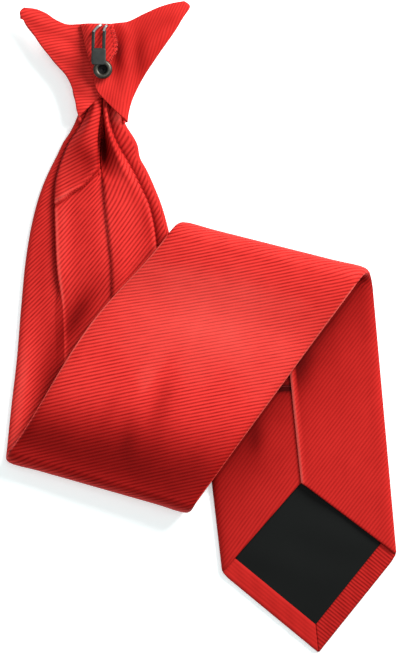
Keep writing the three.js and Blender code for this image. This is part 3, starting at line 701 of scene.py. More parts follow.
def flatSection(width):
    left = [(share - 0.5) * width for share in flatFlap["left"]]
    right = [(share - 0.5) * width for share in flatFlap["right"]]
    level = 2 * halfInner
    row = dict(leftEdge=-width / 2, rightEdge=width / 2, seam=left[0], lap=blade["seamLap"])
    row.update(leftRidge=left[1], leftCrease=left[2], rightRidge=right[1], rightCrease=right[2])
    row.update(leftLobe=mix(left[1], left[2], 0.5), rightLobe=mix(right[1], right[2], 0.5))
    row.update(flank=level, crest=level, valley=level, leftTuck=0, rightTuck=0)
    return bladeSection(row)


def placeBetween(left, right, leftFront, rightFront, width, section):
    t = (section[:, 0] / width + 0.5)[:, None]
    front = leftFront * (1 - t) + rightFront * t
    front /= np.linalg.norm(front, axis=1, keepdims=True)
    return left * (1 - t) + right * t + front * (halfInner - section[:, 1])[:, None]


# Steps between the points of a section, fine at its bends
leftParts = [3, 9, 9, 11, 2, 2, 4, 2, 2, 5, 5]
rightParts = [3, 4, 4, 5, 2, 2, 4, 2, 2, 5, 5]
sectionParts = leftParts + [3, 3] + [4] * 6 + [3, 3] + rightParts[::-1]
columnAt = np.concatenate([[0], np.cumsum(sectionParts)])  # column of each point of a section
leftCreaseColumn, leftPleatColumn, leftEdgeColumn = columnAt[4], columnAt[9], columnAt[12]
rightEdgeColumn, rightPleatColumn, rightCreaseColumn = columnAt[20], columnAt[23], columnAt[28]
columns = columnAt[-1] + 1
openRun = 102.1  # where the tucks have opened out


def acrossCloth(line):  # millimetres of cloth from the left edge
    arc = np.concatenate([[0], np.cumsum(np.linalg.norm(np.diff(line, axis=0), axis=1))])
    return arc - arc[leftEdgeColumn]


def anchorCloth(across, opened):  # keeps each panel's threads in step with its own edge
    front = across[rightEdgeColumn]
    marks = (0, leftCreaseColumn, leftPleatColumn, leftEdgeColumn - 3, leftEdgeColumn + 3)
    marks += (rightEdgeColumn - 3, rightEdgeColumn + 3, rightPleatColumn, rightCreaseColumn)
    leftShift = opened[leftCreaseColumn] - across[leftCreaseColumn]
    frontShift = (opened[rightEdgeColumn] - front) / 2
    edgeShift = opened[rightEdgeColumn] - front
    rightShift = opened[rightCreaseColumn] - across[rightCreaseColumn]
    shifts = (leftShift, leftShift, 0, 0, frontShift, frontShift, edgeShift, edgeShift, rightShift)
    return across + np.interp(np.arange(columns), marks, shifts)


def hangingRun():
    run = blade["hangRun"]
    known = [row[0] for row in hangRows] + [run]
    made = [hangSection(row) for row in hangRows]
    made.append((flatSection(blade["foldWidth"]), blade["shellWall"] / 2))
    wanted = np.concatenate([np.linspace(0, 56, 74)[:-1], np.linspace(56, run, 58), [openRun]])
    sections = throughPoints(known, [section for section, _ in made], wanted)
    bases = throughPoints(known, [base for _, base in made], wanted)
    endSlope = math.tan(math.radians(blade["hangAngle"] + 90 - blade["lowerFoldAngle"]))
    opened = acrossCloth(roundLine(sections[-1], sectionParts))
    rows = []
    for at, section, base in zip(wanted[:-1], sections[:-1], bases[:-1]):
        line = roundLine(section, sectionParts)
        across = acrossCloth(line)
        if at < openRun:
            across = anchorCloth(across, opened)
        along = at + line[:, 0] * endSlope * (at / run) ** 2
        points = hangTop + along[:, None] * hangDir + line[:, :1] * hangSide
        points[:, 2] = base + line[:, 1]
        rows.append((points, across, along))
    return rows


def foldLoop(name, start, axis, out, slide, width, fromTop, count):
    line = roundLine(flatSection(width), sectionParts)
    across = acrossCloth(line)
    rows = []
    for step in np.linspace(0, 1, count):
        places, fronts = [], []
        for side in sides:
            height, bulge = blade[name][side]
            turn = step * math.pi
            angle = math.pi - turn if fromTop else turn
            base = np.array([start[side][0], start[side][1], restLow])
            places.append(
                base
                + out * bulge * math.sin(angle)
                + axis * slide[side] * step
                + up * height / 2 * (1 - math.cos(angle))
            )
            front = out * math.sin(angle) * height / 2 - up * math.cos(angle) * bulge
            fronts.append(front / np.linalg.norm(front))
        rows.append((placeBetween(*places, *fronts, width, line), across, None))
    return rows


def crossHeight(side, t):
    lowerTop = restLow + blade["lowerLoop"][side][0] - restHigh
    upperTop = restLow + blade["upperLoop"][side][0] - restHigh
    fromLower = lowerTop * (1 - smooth(t * blade["crossRun"] / blade["lowerEase"]))
    fromUpper = upperTop * (1 - smooth((1 - t) * blade["crossRun"] / blade["upperEase"]))
    return restHigh + fromLower + fromUpper


def bowAt(t):  # left edge of the crossing run stands out from a straight line
    middle = blade["edgeBowAt"]
    turn = t / middle / 2 if t < middle else 1 - (1 - t) / (1 - middle) / 2
    return blade["edgeBow"] * math.sin(math.pi * turn) ** 2


def crossingRun(count):
    rows = []
    for t in np.linspace(0, 1, count)[1:-1]:
        width = mix(blade["foldWidth"], upperWidth, t)
        line = roundLine(flatSection(width), sectionParts)
        ends = []
        for side in sides:
            point = mix(lowerEnd[side], upperStart[side], t)
            if side == "left":
                point = point + leftOf(crossDir) * bowAt(t)
            point[2] = crossHeight(side, t)
            ends.append(point)
        points = placeBetween(*ends, up, up, width, line)
        rows.append((points, acrossCloth(line), (points - crossStart) @ crossDir))
    return rows


def tailRun(count):
    rows = []
    steps = np.linspace(0, 1, count)[1:-1].tolist() + [1 - 0.4 / count, 1]
    for t in steps:
        width = mix(upperWidth, blade["cornerWidth"], t)
        line = roundLine(flatSection(width), sectionParts)
        ends = [mix(upperEnd[side], corner[side], t) for side in sides]
        for end in ends:
            end[2] = restLow
        points = placeBetween(*ends, -up, -up, width, line)
        inward = np.clip(1 - np.abs(line[:, 0]) / (width / 2), 0, 1)
        front = line[:, 1] < halfInner
        lengthen = np.where(front, (blade["tipDepth"] - 0.5) * inward, -blade["tipOpening"] * inward)
        points = points + (lengthen * t)[:, None] * tailDir
        rows.append((points, acrossCloth(line), (points - tailStart) @ tailDir))
    return rows


def bladeGrid():
    hang = hangingRun()
    lower = foldLoop("lowerLoop", lowerStart, lowerAxis, lowerOut, lowerSlide, blade["foldWidth"], False, 17)
    cross = crossingRun(56)
    upper = foldLoop("upperLoop", upperStart, upperAxis, upperOut, upperSlide, upperWidth, True, 19)
    tail = tailRun(64)
    middle = columns // 2
    sideways = {}
    for name, loop in (("lower", lower), ("upper", upper)):
        path = np.array([row[0][middle] for row in loop])
        sideways[name] = np.linalg.norm(np.diff(path, axis=0), axis=1).sum()
    crossFrom = blade["hangRun"] + sideways["lower"]
    crossFirst = crossFrom + (lower[-1][0] - crossStart) @ crossDir
    tailFrom = crossFrom + blade["crossRun"] + sideways["upper"]
    upperFirst = crossFrom + (upper[0][0] - crossStart) @ crossDir
    tailFirst = tailFrom + (upper[-1][0] - tailStart) @ tailDir
    points, across, along, part = [], [], [], []

    def keep(rows, number, lengths):
        for i, row in enumerate(rows):
            points.append(row[0])
            across.append(row[1])
            along.append(lengths(i, row))
            part.append(number)

    keep(hang, 0, lambda i, row: row[2])
    turns = len(lower) - 1
    keep(lower[1:], 1, lambda i, row: mix(hang[-1][2], crossFirst, (i + 1) / turns))
    keep(cross, 2, lambda i, row: crossFrom + row[2])
    last = len(upper) - 1
    keep(upper, 3, lambda i, row: mix(upperFirst, tailFirst, i / last))
    keep(tail, 4, lambda i, row: tailFrom + row[2])
    return np.array(points), np.array(across), np.array(along), np.array(part)


bladePoints, bladeAcross, bladeAlong, bladePart = bladeGrid()

# The hem along the slanted edges of the tip. Its box in the frame places the blade's plan
hem = {
    "width": 8.3,
    "wall": 0.9,
    "rimShare": 0.4,
    # painted shade over the whole hem
    "shade": 0.42,
    "line": [  # from the edge inwards, and above the shell's inner face
        (-0.35, -0.75),
        (-0.5, -0.1),
        (0.0, 0.5),
        (1.2, 0.52),
        (3.4, 0.6),
        (6.2, 0.58),
        (8.3, 0.42),
    ],
    "cornerRun": 2.6,  # where it narrows into the tie's corners
    "wave": 0.08,
}
slope = blade["tipDepth"] / (blade["cornerWidth"] / 2)
hemDrop = hem["width"] * math.hypot(1, slope)
hemReach = blade["cornerWidth"] / 2 - halfInner - blade["shellWall"] / 2 - blade["layerGap"]


def onTail(across, along, height):
    point = cornerCentre + tailSide * across + tailDir * along
    point[2] = height
    return point


def hemEdge(x):
    return blade["tipDepth"] - abs(x) * slope


hemCorners = [
    onTail(x, along, 0)
    for x in (-hemReach, 0, hemReach)
    for along in (hemEdge(x), hemEdge(x) - hemDrop)
]
hemBox = Vector(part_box("tip_hem")[0]) / mm
hemLow = np.min(hemCorners, axis=0)
origin = np.array([hemLow[0] - hemBox[0], hemLow[1] - hemBox[1], 0.0])
print("frame's origin in the blade's own plan", origin.round(3).tolist())


# Soft shape of the laid cloth: swells and hollows, in mm
relief = {
    "swell": [(0.24, 0.2, 3.6), (0.62, 0.24, 1.6)],  # along the crossing run: place, reach, rise
    "humpPower": 0.75,
    "humpEnds": (0.55, 1.25),  # share of the swell at the left and right edge
    "edgeGroove": 0.9,  # dip inside the rolled left edge of the crossing run
    "grooveAcross": (0.085, 0.05),
    "grooveAlong": (0.5, 0.2),
    "dents": [  # place in the picture's plane, reach across and along, turn, depth
        (-18.6, -33.9, 3.2, 14, -16, 0.8),
        (-25.5, -28, 3.5, 10, -16, -0.35),
        (-32.8, -49.6, 3, 9, -10, 0.5),
        (-42, -36, 2.4, 8, -25, 0.3),
    ],
    "lobeStep": 1.5,  # upper lobe of the left pleat stands above its lower part
    "lobeFade": 9.0,
    "sideSwell": 1.5,  # of the right edge, below the knot
    "tailWave": 0.45,
}
lobeLine = np.array(  # lower edge of the left pleat's upper lobe, across and along the hanging run
    [
        (-24, 53),
        (-20.8, 51.6),
        (-16.7, 48.8),
        (-14, 46.5),
        (-9.4, 43.8),
        (-6.2, 40.8),
        (-3.2, 36.9),
        (0, 33),
    ]
)


def spot(points, x, y, across, along, turn):
    c, s = math.cos(math.radians(turn)), math.sin(math.radians(turn))
    dx, dy = points[..., 0] - x, points[..., 1] - y
    u, v = dx * c + dy * s, dy * c - dx * s
    return np.exp(-((u / across) ** 2) - (v / along) ** 2)


def shareAlong(number):  # 0 to 1 through one part of the blade, by row
    rows = np.flatnonzero(bladePart == number)
    return rows, np.linspace(0, 1, len(rows))


frontColumns = np.arange(leftEdgeColumn, rightEdgeColumn + 1)
frontShare = np.linspace(0, 1, len(frontColumns))
everyColumn = np.arange(columns)


def hangPlace(rows):  # millimetres across and along the hanging run, by vertex
    flat = bladePoints[rows]
    return (flat - hangTop) @ hangSide, (flat - hangTop) @ hangDir


def aboveLobeLine(rows):
    across, along = hangPlace(rows)
    return np.interp(across, lobeLine[:, 0], lobeLine[:, 1]) - along


def swellCrossing(points, plan):
    rows, share = shareAlong(2)
    hump = np.sin(math.pi * frontShare) ** relief["humpPower"]
    rise = sum(height * bump(share, at, reach) for at, reach, height in relief["swell"])
    lift = rise[:, None] * hump * mix(*relief["humpEnds"], frontShare)
    alongGroove = bump(share, *relief["grooveAlong"])[:, None]
    groove = bump(frontShare, *relief["grooveAcross"]) * alongGroove
    lift = lift - relief["edgeGroove"] * groove
    block = np.ix_(rows, frontColumns)
    for x, y, across, along, turn, depth in relief["dents"]:
        lift = lift - depth * spot(plan[block], x, y, across, along, turn)
    points[block + (2,)] += lift
    for number, edge in ((1, lift[0]), (3, lift[-1])):
        turning, step = shareAlong(number)
        step = step if number == 1 else 1 - step
        points[np.ix_(turning, frontColumns) + (2,)] += (step**2)[:, None] * edge


def raiseLobe(points):  # upper lobe of the left pleat
    rows = np.flatnonzero(bladePart == 0)
    columnsHere = np.arange(1, leftCreaseColumn + 3)
    above = aboveLobeLine(rows)[:, columnsHere]
    across, along = hangPlace(rows)
    across, along = across[:, columnsHere], along[:, columnsHere]
    near = np.exp(-np.clip(above, 0, None) / relief["lobeFade"])
    step = smooth((above + 0.3) / 1.1) * near
    fromSeam = smooth((-0.2 - across) / 2.5) * smooth((across + 23) / 5)
    start = smooth((along - 20) / 10)
    points[np.ix_(rows, columnsHere) + (2,)] += relief["lobeStep"] * step * fromSeam * start


def swellSide(points):  # right edge stands out below the knot
    rows = np.flatnonzero(bladePart == 0)
    across, along = hangPlace(rows)
    swell = relief["sideSwell"] * bump(along, 23.5, 5.5) * smooth((across - 8) / 5)
    points[rows] += hangSide * swell[..., None]


def waveTail(points, plan):
    rows, share = shareAlong(4)
    for first, last in ((0, leftEdgeColumn), (rightEdgeColumn, columns - 1)):
        flap = np.arange(first, last + 1)
        block = np.ix_(rows, flap)
        wave = np.sin(plan[block][..., 1] * 0.11 + plan[block][..., 0] * 0.05)
        fade = np.sin(math.pi * share)[:, None] * np.sin(math.pi * np.linspace(0, 1, len(flap)))
        points[block + (2,)] += relief["tailWave"] * np.clip(wave, 0, 1) * fade


def bladeRelief():
    points = bladePoints.copy()
    plan = bladePoints - origin
    swellCrossing(points, plan)
    raiseLobe(points)
    swellSide(points)
    waveTail(points, plan)
    points[..., 2] = np.maximum(points[..., 2], blade["wall"] / 2)
    return points - origin


# Tone of the satin, 0 as dyed, above 0 turned away from the light, below 0 catching it
tone = {
    "hang": 0.2,
    "lobe": 0.22,
    "lobeRibs": 28.5,  # angle of the ribs on the upper lobe
    "creaseDark": 0.5,
    "creaseLight": -0.3,
    "tail": 0.38,
    "tailShadow": 0.42,  # on the tail beside the crossing run's right edge
    "shadowReach": 14.0,
    "lowerFold": 0.76,
    "lowerRim": 0.1,
    "foldedEdge": -0.55,
    "crease": 0.6,
    "creaseReach": 2.2,
    "creaseEdge": -0.4,
    "topBand": 0.08,
    "lowerFoldAt": 0.06,  # share of the crossing run
    "lowerFoldReach": (0.14, 0.25),  # at its left and right edge
    "closedPleat": 0.8,
    "edgeReach": 0.9,
    "front": [  # place in the picture's plane, reach across and along, turn, tone
        (4, 4, 44, 30, -16, -0.17),
        (-18, -34, 4.5, 15, -16, 0.24),
        (-25.5, -27, 4, 9, -16, -0.12),
        (-33, -49.5, 4, 9, -10, 0.16),
        (-42, -38, 3, 8, -25, 0.12),
    ],
    "hanging": [
        (-63.2, 46, 4, 30, 0, -0.26),
        (-53.5, 79, 4, 7, 20, 0.3),
        (-43, 46, 5, 18, 4, -0.24),
        (-33, 51, 5, 18, 10, -0.16),
        (-23, 47, 4, 16, 20, 0.16),
        (-39.5, 96.5, 5, 6, -40, -0.5),
        (-70, -24, 6, 17, -16, 0.42),
        (-73.5, 33, 4, 22, 0, 0.14),
        (-57, 5, 5.5, 15, -30, 0.55),
    ],
    "tailSpots": [
        (25, -52, 4, 9, -8, 0.2),
        (46, -20, 5, 11, -25, 0.2),
        (52, 2, 6, 14, -30, 0.1),
    ],
    "mouth": [(25, 9, 0.9, 2.0, 0.9), (30, 9, 3.5, 4.0, 0.4)],  # shadow under the wings
    "outerEdge": -0.3,
    "joinSeam": 0.5,
    "besideLap": 0.25,
    "lapEdge": -0.9,
}
shadowEdge = np.array([68.4, 16.7])  # a place on the crossing run's right edge
shadowWay = np.array([0.806, -0.591])


def addSpots(shade, block, plan, spots):
    for x, y, across, along, turn, depth in spots:
        shade[block] += depth * spot(plan[block], x, y, across, along, turn)


def shadeHanging(shade, plan):
    rows = np.flatnonzero(bladePart == 0)
    shade[rows] += tone["hang"]
    addSpots(shade, np.ix_(rows, everyColumn), plan, tone["hanging"])
    above = aboveLobeLine(rows)
    across, along = hangPlace(rows)
    inLobe = (everyColumn <= leftCreaseColumn + 1) * smooth((-0.4 - across) / 2.5)
    inLobe = inLobe * smooth((along - 22) / 10)
    shade[rows] += tone["lobe"] * inLobe * smooth(above / 2) * bump(across, -2.5, 6)
    shade[rows] += tone["creaseDark"] * inLobe * bump(above, -0.35, 0.75)
    shade[rows] += tone["creaseLight"] * inLobe * bump(above, 1.5, 0.9)
    for atAlong, reachAlong, atAcross, reachAcross, depth in tone["mouth"]:
        shade[rows] += depth * bump(along, atAlong, reachAlong) * bump(across, atAcross, reachAcross)
    for crease, pleat, edge in (
        (leftCreaseColumn, leftPleatColumn, leftEdgeColumn),
        (rightCreaseColumn, rightPleatColumn, rightEdgeColumn),
    ):
        low, high = min(pleat, crease), max(pleat, crease)
        inside = (everyColumn > low) & (everyColumn < high)
        outside = (everyColumn >= min(edge, pleat)) & (everyColumn <= max(edge, pleat))
        away = np.abs(across - across[:, crease][:, None])
        fade = 1 - 0.5 * smooth((along - 60) / 50)
        closed = tone["closedPleat"] * (1 - 0.8 * smooth((along - 80) / 30))
        beside = bump(away, 0, tone["creaseReach"])
        shade[rows] += tone["crease"] * fade * (closed * inside + outside * beside)
        flap = (everyColumn - crease) * (crease - pleat) >= 0
        lit = flap * bump(away, 0, tone["edgeReach"]) * smooth((along - 40) / 20)
        shade[rows] += tone["creaseEdge"] * lit
    edge = bump(everyColumn, leftEdgeColumn - 4, 4)[None, :] * smooth((along - 90) / 40)
    shade[rows] += tone["outerEdge"] * edge


def shadeFolds(shade):
    rows, share = shareAlong(1)
    turned = smooth((share - 0.62) / 0.34)
    shade[rows] += mix(tone["lowerRim"], tone["lowerFold"] * 0.82, turned)[:, None]
    rows, share = shareAlong(3)
    turned = smooth((share - 0.35) / 0.5)
    shade[rows] += mix(tone["topBand"], tone["tail"] + tone["tailShadow"] * 0.6, turned)[:, None]


def shadeCrossing(shade, plan):
    rows, share = shareAlong(2)
    share = share[:, None]
    block = np.ix_(rows, frontColumns)
    depth = mix(1, 0.8, smooth((frontShare - 0.8) / 0.2))
    reach = mix(*tone["lowerFoldReach"], frontShare)
    shade[block] += tone["lowerFold"] * bump(share, tone["lowerFoldAt"], reach) * depth
    shade[block] += tone["topBand"] * smooth((share - 0.86) / 0.08)
    addSpots(shade, block, plan, tone["front"])
    folded = [leftEdgeColumn, leftEdgeColumn + 1, rightEdgeColumn - 1, rightEdgeColumn]
    shade[np.ix_(rows, folded)] = tone["foldedEdge"] + 0.4 * bump(share, 0, 0.2)


def shadeTail(shade, plan):
    rows = np.flatnonzero(bladePart == 4)
    fromEdge = np.clip((plan[rows][..., :2] - shadowEdge) @ shadowWay, 0, None)
    shade[rows] += tone["tail"] + tone["tailShadow"] * np.exp(-fromEdge / tone["shadowReach"])
    x, y = plan[rows][..., 0], plan[rows][..., 1]
    seam = bump(y, -28.6, 1.3) * (everyColumn <= leftEdgeColumn)
    shade[rows] += tone["joinSeam"] * seam * smooth((x - 33) / 1.5)
    addSpots(shade, np.ix_(rows, everyColumn), plan, tone["tailSpots"])
    shade[rows, columns - 2] = tone["besideLap"]
    shade[rows, columns - 1] = tone["lapEdge"]


def bladeShade():
    shade = np.zeros(bladeAcross.shape)
    plan = bladePoints - origin
    shadeHanging(shade, plan)
    shadeFolds(shade)
    shadeCrossing(shade, plan)
    shadeTail(shade, plan)
    return shade


def bladeCloth():
    cloth = ribMap(bladeAcross, bladeAlong, 90 - blade["ribAngle"])
    rows = np.flatnonzero(bladePart == 0)  # the left pleat's upper lobe has ribs of its own
    above = aboveLobeLine(rows)
    across, along = hangPlace(rows)
    inLobe = (above > 0.2) & (everyColumn <= leftCreaseColumn + 1)
    turned = ribMap(across, -along, tone["lobeRibs"])
    cloth[rows] = np.where(inLobe[..., None], turned, cloth[rows])
    return cloth


bladeFinal = bladeRelief()


def addPiece(node, piece):
    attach(piece, "root")
    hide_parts(node)
    return piece


def makeBlade():
    thin = thinRim(*bladeFinal.shape[:2], 0.4, ends=False)
    thin[-1] = 0.4
    shade = bladeShade()
    piece = makeWall("blade_cloth", bladeFinal, blade["wall"], bladeCloth(), redSatin, shade, thin)
    piece.data.materials.append(tailSatin)
    tailFirst = int(np.flatnonzero(bladePart == 4)[0])
    oneSide = columns * len(bladePart)
    onTailFaces = [
        int(max(v % oneSide for v in face.vertices) // columns > tailFirst)
        for face in piece.data.polygons
    ]
    piece.data.polygons.foreach_set("material_index", onTailFaces)
    return piece


bladePiece = addPiece("blade", makeBlade())
print("blade", len(bladePiece.data.polygons) * 2, "triangles")


# The knot. Places on it are millimetres across and up from the middle of its mouth
knot = {
    "coverLength": 45.5,
    "coverWidth": 34.5,
    "coverWall": 1.5,
    "coverFront": 7.0,
    "span": 77.0,
    "height": 57.0,
    "crown": 1.6,
    "wingWall": 2.2,
    "tabWall": 1.2,
    "gap": 0.3,
}
lapLevel = knot["crown"] + knot["wingWall"] + knot["gap"]
wingLow = knot["coverFront"] + knot["gap"] + knot["wingWall"] / 2
tabLevel = wingLow + lapLevel + knot["wingWall"] / 2 + knot["gap"] + knot["tabWall"] / 2


def onKnot(across, rise, height):
    across, rise, height = np.broadcast_arrays(across, rise, height)
    point = mouth + hangSide * across[..., None] - hangDir * rise[..., None] - origin
    point[..., 2] = height
    return point


def softSteps(count, rim):  # shares from 0 to 1, close together at both ends
    inner = np.linspace(rim * 3, 1 - rim * 3, count)
    return np.concatenate([[0, rim * 0.4, rim * 1.2], inner, [1 - rim * 1.2, 1 - rim * 0.4, 1]])


def rimProfile(steps, least):
    ends = np.array([least, 0.72, 0.95])
    thin = np.ones(len(steps))
    thin[:3], thin[-3:] = ends, ends[::-1]
    return thin


def roundedWall(rows, columns, least=0.3):
    return np.minimum.outer(rimProfile(rows, least), rimProfile(columns, least))


# Front of the knot: rise, half width and depth of its front as shares
coverRows = [
    (0.02, 0.62, 0.12),
    (0.13, 0.64, 0.03),
    (0.28, 0.73, 0.0),
    (0.46, 0.84, 0.0),
    (0.64, 0.94, 0.0),
    (0.8, 1.0, 0.06),
    (0.9, 0.98, 0.2),
    (0.96, 0.93, 0.45),
    (1.0, 0.86, 0.8),
]


def makeCover():  # a strip folded round the knot, open side towards the wings
    known = np.array(coverRows)
    steps = softSteps(36, 0.012)
    rises = evenCurve(known[:, 0], steps)
    shape = throughPoints(known[:, 0], known[:, 1:], rises)
    turns = softSteps(44, 0.012) * math.pi
    lip = knot["coverFront"] - knot["coverWall"] / 2
    half = (knot["coverWidth"] / 2 - knot["coverWall"] / 2) * shape[:, :1]
    front = knot["coverWall"] / 2 + shape[:, 1:] * (lip - knot["coverWall"])
    across = -half * np.sign(np.cos(turns)) * np.abs(np.cos(turns)) ** 0.75
    depth = np.sin(turns) ** 0.75
    pinch = 0.5 * bump(rises[:, None], 0.1, 0.08) * np.sin(turns * 5) * np.sin(turns)
    height = mix(lip, front, depth) + pinch
    rise = rises[:, None] * knot["coverLength"]
    middle = onKnot(across, rise, height)
    arc = np.cumsum(np.linalg.norm(np.diff(middle, axis=1, prepend=middle[:, :1]), axis=2), axis=1)
    arc -= arc[:, len(turns) // 2][:, None]
    cloth = ribMap(-arc, rise, blade["ribAngle"])
    thin = roundedWall(steps, turns, 0.4)
    return makeWall("knot_cover_cloth", middle, knot["coverWall"], cloth, redSatin, None, thin)


# Wings: rulings from the outer to the inner edge, tip first. Across is a share of half the
# span, rise a share of the height, heights are shares of the level of the upper lap
leftRulings = [
    (-0.965, 0.855, -0.945, 0.935, 0.04, 0.04, 0.04),
    (-0.93, 0.81, -0.82, 0.925, 0.05, 0.1, 0.05),
    (-0.86, 0.745, -0.68, 0.89, 0.06, 0.14, 0.06),
    (-0.76, 0.655, -0.54, 0.83, 0.08, 0.2, 0.1),
    (-0.65, 0.555, -0.41, 0.8, 0.1, 0.28, 0.2),
    (-0.53, 0.46, -0.26, 0.805, 0.14, 0.36, 0.32),
    (-0.43, 0.385, -0.08, 0.75, 0.2, 0.4, 0.4),
    (-0.37, 0.31, -0.06, 0.56, 0.24, 0.4, 0.4),
    (-0.34, 0.23, -0.04, 0.39, 0.28, 0.4, 0.4),
    (-0.31, 0.15, 0.0, 0.3, 0.3, 0.4, 0.4),
    (-0.29, 0.09, -0.02, 0.25, 0.3, 0.4, 0.4),
    (-0.275, 0.055, -0.045, 0.21, 0.26, 0.38, 0.36),
]
rightRulings = [
    (1.03, 0.94, 0.965, 1.0, 0.06, 0.06, 0.06, 0.06),
    (0.95, 0.86, 0.84, 0.985, 0.08, 0.16, 0.14, 0.1),
    (0.86, 0.76, 0.69, 0.955, 0.12, 0.36, 0.24, 0.16),
    (0.75, 0.655, 0.51, 0.9, 0.16, 0.6, 0.4, 0.3),
    (0.63, 0.535, 0.27, 0.822, 0.22, 0.78, 0.5, 0.6),
    (0.54, 0.44, 0.14, 0.81, 0.26, 0.88, 0.56, 1.0),
    (0.46, 0.345, -0.14, 0.765, 0.3, 0.92, 0.66, 1.0),
    (0.4, 0.265, -0.14, 0.56, 0.32, 0.92, 0.76, 1.0),
    (0.35, 0.185, -0.11, 0.4, 0.34, 0.88, 0.9, 1.0),
    (0.32, 0.11, -0.08, 0.295, 0.34, 0.84, 0.96, 1.0),
    (0.305, 0.05, -0.045, 0.25, 0.34, 0.8, 0.96, 1.0),
    (0.3, 0.015, -0.01, 0.225, 0.34, 0.76, 0.92, 1.0),
]


def wingGrid(rulings, heightMarks, tipBulge):
    rows = softSteps(64, 0.008)
    shares = softSteps(40, 0.014)
    lines = evenCurve(rulings, rows)
    across = mix(lines[:, :1], lines[:, 2:3], shares) * knot["span"] / 2
    rise = mix(lines[:, 1:2], lines[:, 3:4], shares) * knot["height"]
    nearTip = (1 - smooth(rows * 12))[:, None]
    across = across + np.sign(across.mean()) * tipBulge * np.sin(math.pi * shares) * nearTip
    share = throughPoints(heightMarks, lines[:, 4:].T, shares).T
    return rows, shares, across, rise, share


# How each wing lies and looks. Shade is painted shade over the whole wing. Dents and spots: across, rise,
# reach each way, depth or painted shade
leftLook = {
    "marks": (0, 0.5, 1),
    "tipBulge": 1.5,
    "ripple": 0.35,
    "ribs": (8, 1.42),  # angle and pitch
    "shade": 0.08,
    "spots": [(-30, 42, 9, 3, 0.06), (-13, 20, 5, 9, 0.12), (-12, 34, 4, 9, 0.1)],
}
rightLook = {
    "marks": (0, 0.24, 0.55, 1),
    "tipBulge": 1.2,
    "dents": [(15.5, 30, 3.4, 11, -0.9), (30, 47, 5, 5, -0.6), (20, 38, 3, 9, 0.5)],
    "ribs": (77, 1.25),
    "shade": 0.2,
    "spots": [
        (7.4, 33, 2.8, 10, 0.62),
        (17, 28, 4, 10, 0.2),
        (29, 47, 8, 4, 0.16),
        (3, 8, 5, 8, 0.16),
        (20, 36, 14, 20, 0.22),
    ],
}


def spotsOn(across, rise, spots):
    total = np.zeros(across.shape)
    for x, y, reachX, reachY, depth in spots:
        total += depth * bump(across, x, reachX) * bump(rise, y, reachY)
    return total


def makeLeftWing():
    look = leftLook
    rows, shares, across, rise, share = wingGrid(leftRulings, look["marks"], look["tipBulge"])
    height = wingLow + np.minimum(share / 0.4, 1) * knot["crown"]
    wave = np.sin(rise * 0.55 + across * 0.2) * np.sin(math.pi * shares) ** 0.5
    height += look["ripple"] * wave
    shade = look["shade"] + spotsOn(across, rise, look["spots"])
    cloth = ribMap(across, rise + 0.002 * (across + 14) ** 2, *look["ribs"])
    middle = onKnot(across, rise, height)
    thin = roundedWall(rows, shares)
    return makeWall("left_wing_cloth", middle, knot["wingWall"], cloth, wingSatin, shade, thin)


def makeRightWing():
    look = rightLook
    rows, shares, across, rise, share = wingGrid(rightRulings, look["marks"], look["tipBulge"])
    height = wingLow + share * lapLevel + spotsOn(across, rise, look["dents"])
    shade = look["shade"] + spotsOn(across, rise, look["spots"])
    cloth = ribMap(across - 0.0035 * (rise - 20) ** 2, rise, *look["ribs"])
    middle = onKnot(across, rise, height)
    thin = roundedWall(rows, shares)
    return makeWall("right_wing_cloth", middle, knot["wingWall"], cloth, softSatin, shade, thin)


# Tab that carries the clip: rise, left and right edge, height against its own level
tabRows = [
    (44.8, -9.2, 4.0, -4.6),
    (45.4, -9.7, 4.4, -2.6),
    (45.3, -9.9, 4.7, -0.9),
    (44.6, -9.9, 4.9, -0.1),
    (42.6, -9.5, 5.4, 0.0),
    (39.5, -8.8, 6.3, 0.0),
    (36.5, -8.1, 6.9, 0.0),
    (33.5, -7.3, 6.7, 0.0),
    (29.9, -6.2, 4.7, 0.0),
    (26.2, -5.1, 3.0, 0.0),
    (23.0, -4.1, 1.4, -0.1),
    (20.9, -3.0, -0.4, -0.3),
]
tabLook = {
    "leftDrop": 1.9,  # down to the left wing, off the right one's edge
    "scallop": 0.3,  # pull of each overlock stitch on the edge
    "scallopRun": 2.1,
    "scallopRise": 0.18,
    "ribs": (55, 1.42),
    # painted shade over the whole tab, and spots of painted shade: across, rise, reach each way, how dark
    "shade": 0.08,
    "spots": [(-1, 36, 6, 12, 0.22), (4.5, 40, 2, 6, 0.14), (-8, 40, 2, 8, 0.05)],
}


def makeTab():
    look = tabLook
    rows = softSteps(70, 0.008)
    shares = softSteps(26, 0.02)
    lines = evenCurve(tabRows, rows)
    across = mix(lines[:, 1:2], lines[:, 2:3], shares)
    rise = np.broadcast_to(lines[:, :1], across.shape)
    height = tabLevel + lines[:, 3:] - look["leftDrop"] * smooth((-5.8 - across) / 4.0)
    turn = rise * 2 * math.pi / look["scallopRun"]
    pull = look["scallop"] * np.sin(turn) * smooth((shares - 0.8) / 0.2)
    across = across + pull * (rise < 45)
    height += look["scallopRise"] * np.sin(turn + 1) * smooth((shares - 0.7) / 0.3)
    middle = onKnot(across, rise, height)
    cloth = ribMap(across, rise + (tabLevel - height) * 0.8, *look["ribs"])
    shade = look["shade"] + spotsOn(across, rise, look["spots"])
    thin = roundedWall(rows, shares)
    return makeWall("clip_tab_cloth", middle, knot["tabWall"], cloth, wingSatin, shade, thin)


knotCover = addPiece("knot_cover", makeCover())
leftWing = addPiece("left_wing", makeLeftWing())
rightWing = addPiece("right_wing", makeRightWing())
clipTab = addPiece("clip_tab", makeTab())
print("knot and its wings")


# Tip of the tie: hem turned in along both slanted edges, and the lining inside it
def onTipPlan(across, along, height):
    middle = tailSide * across[..., None] + tailDir * along[..., None] + cornerCentre - origin
    middle[..., 2] = height
    return middle


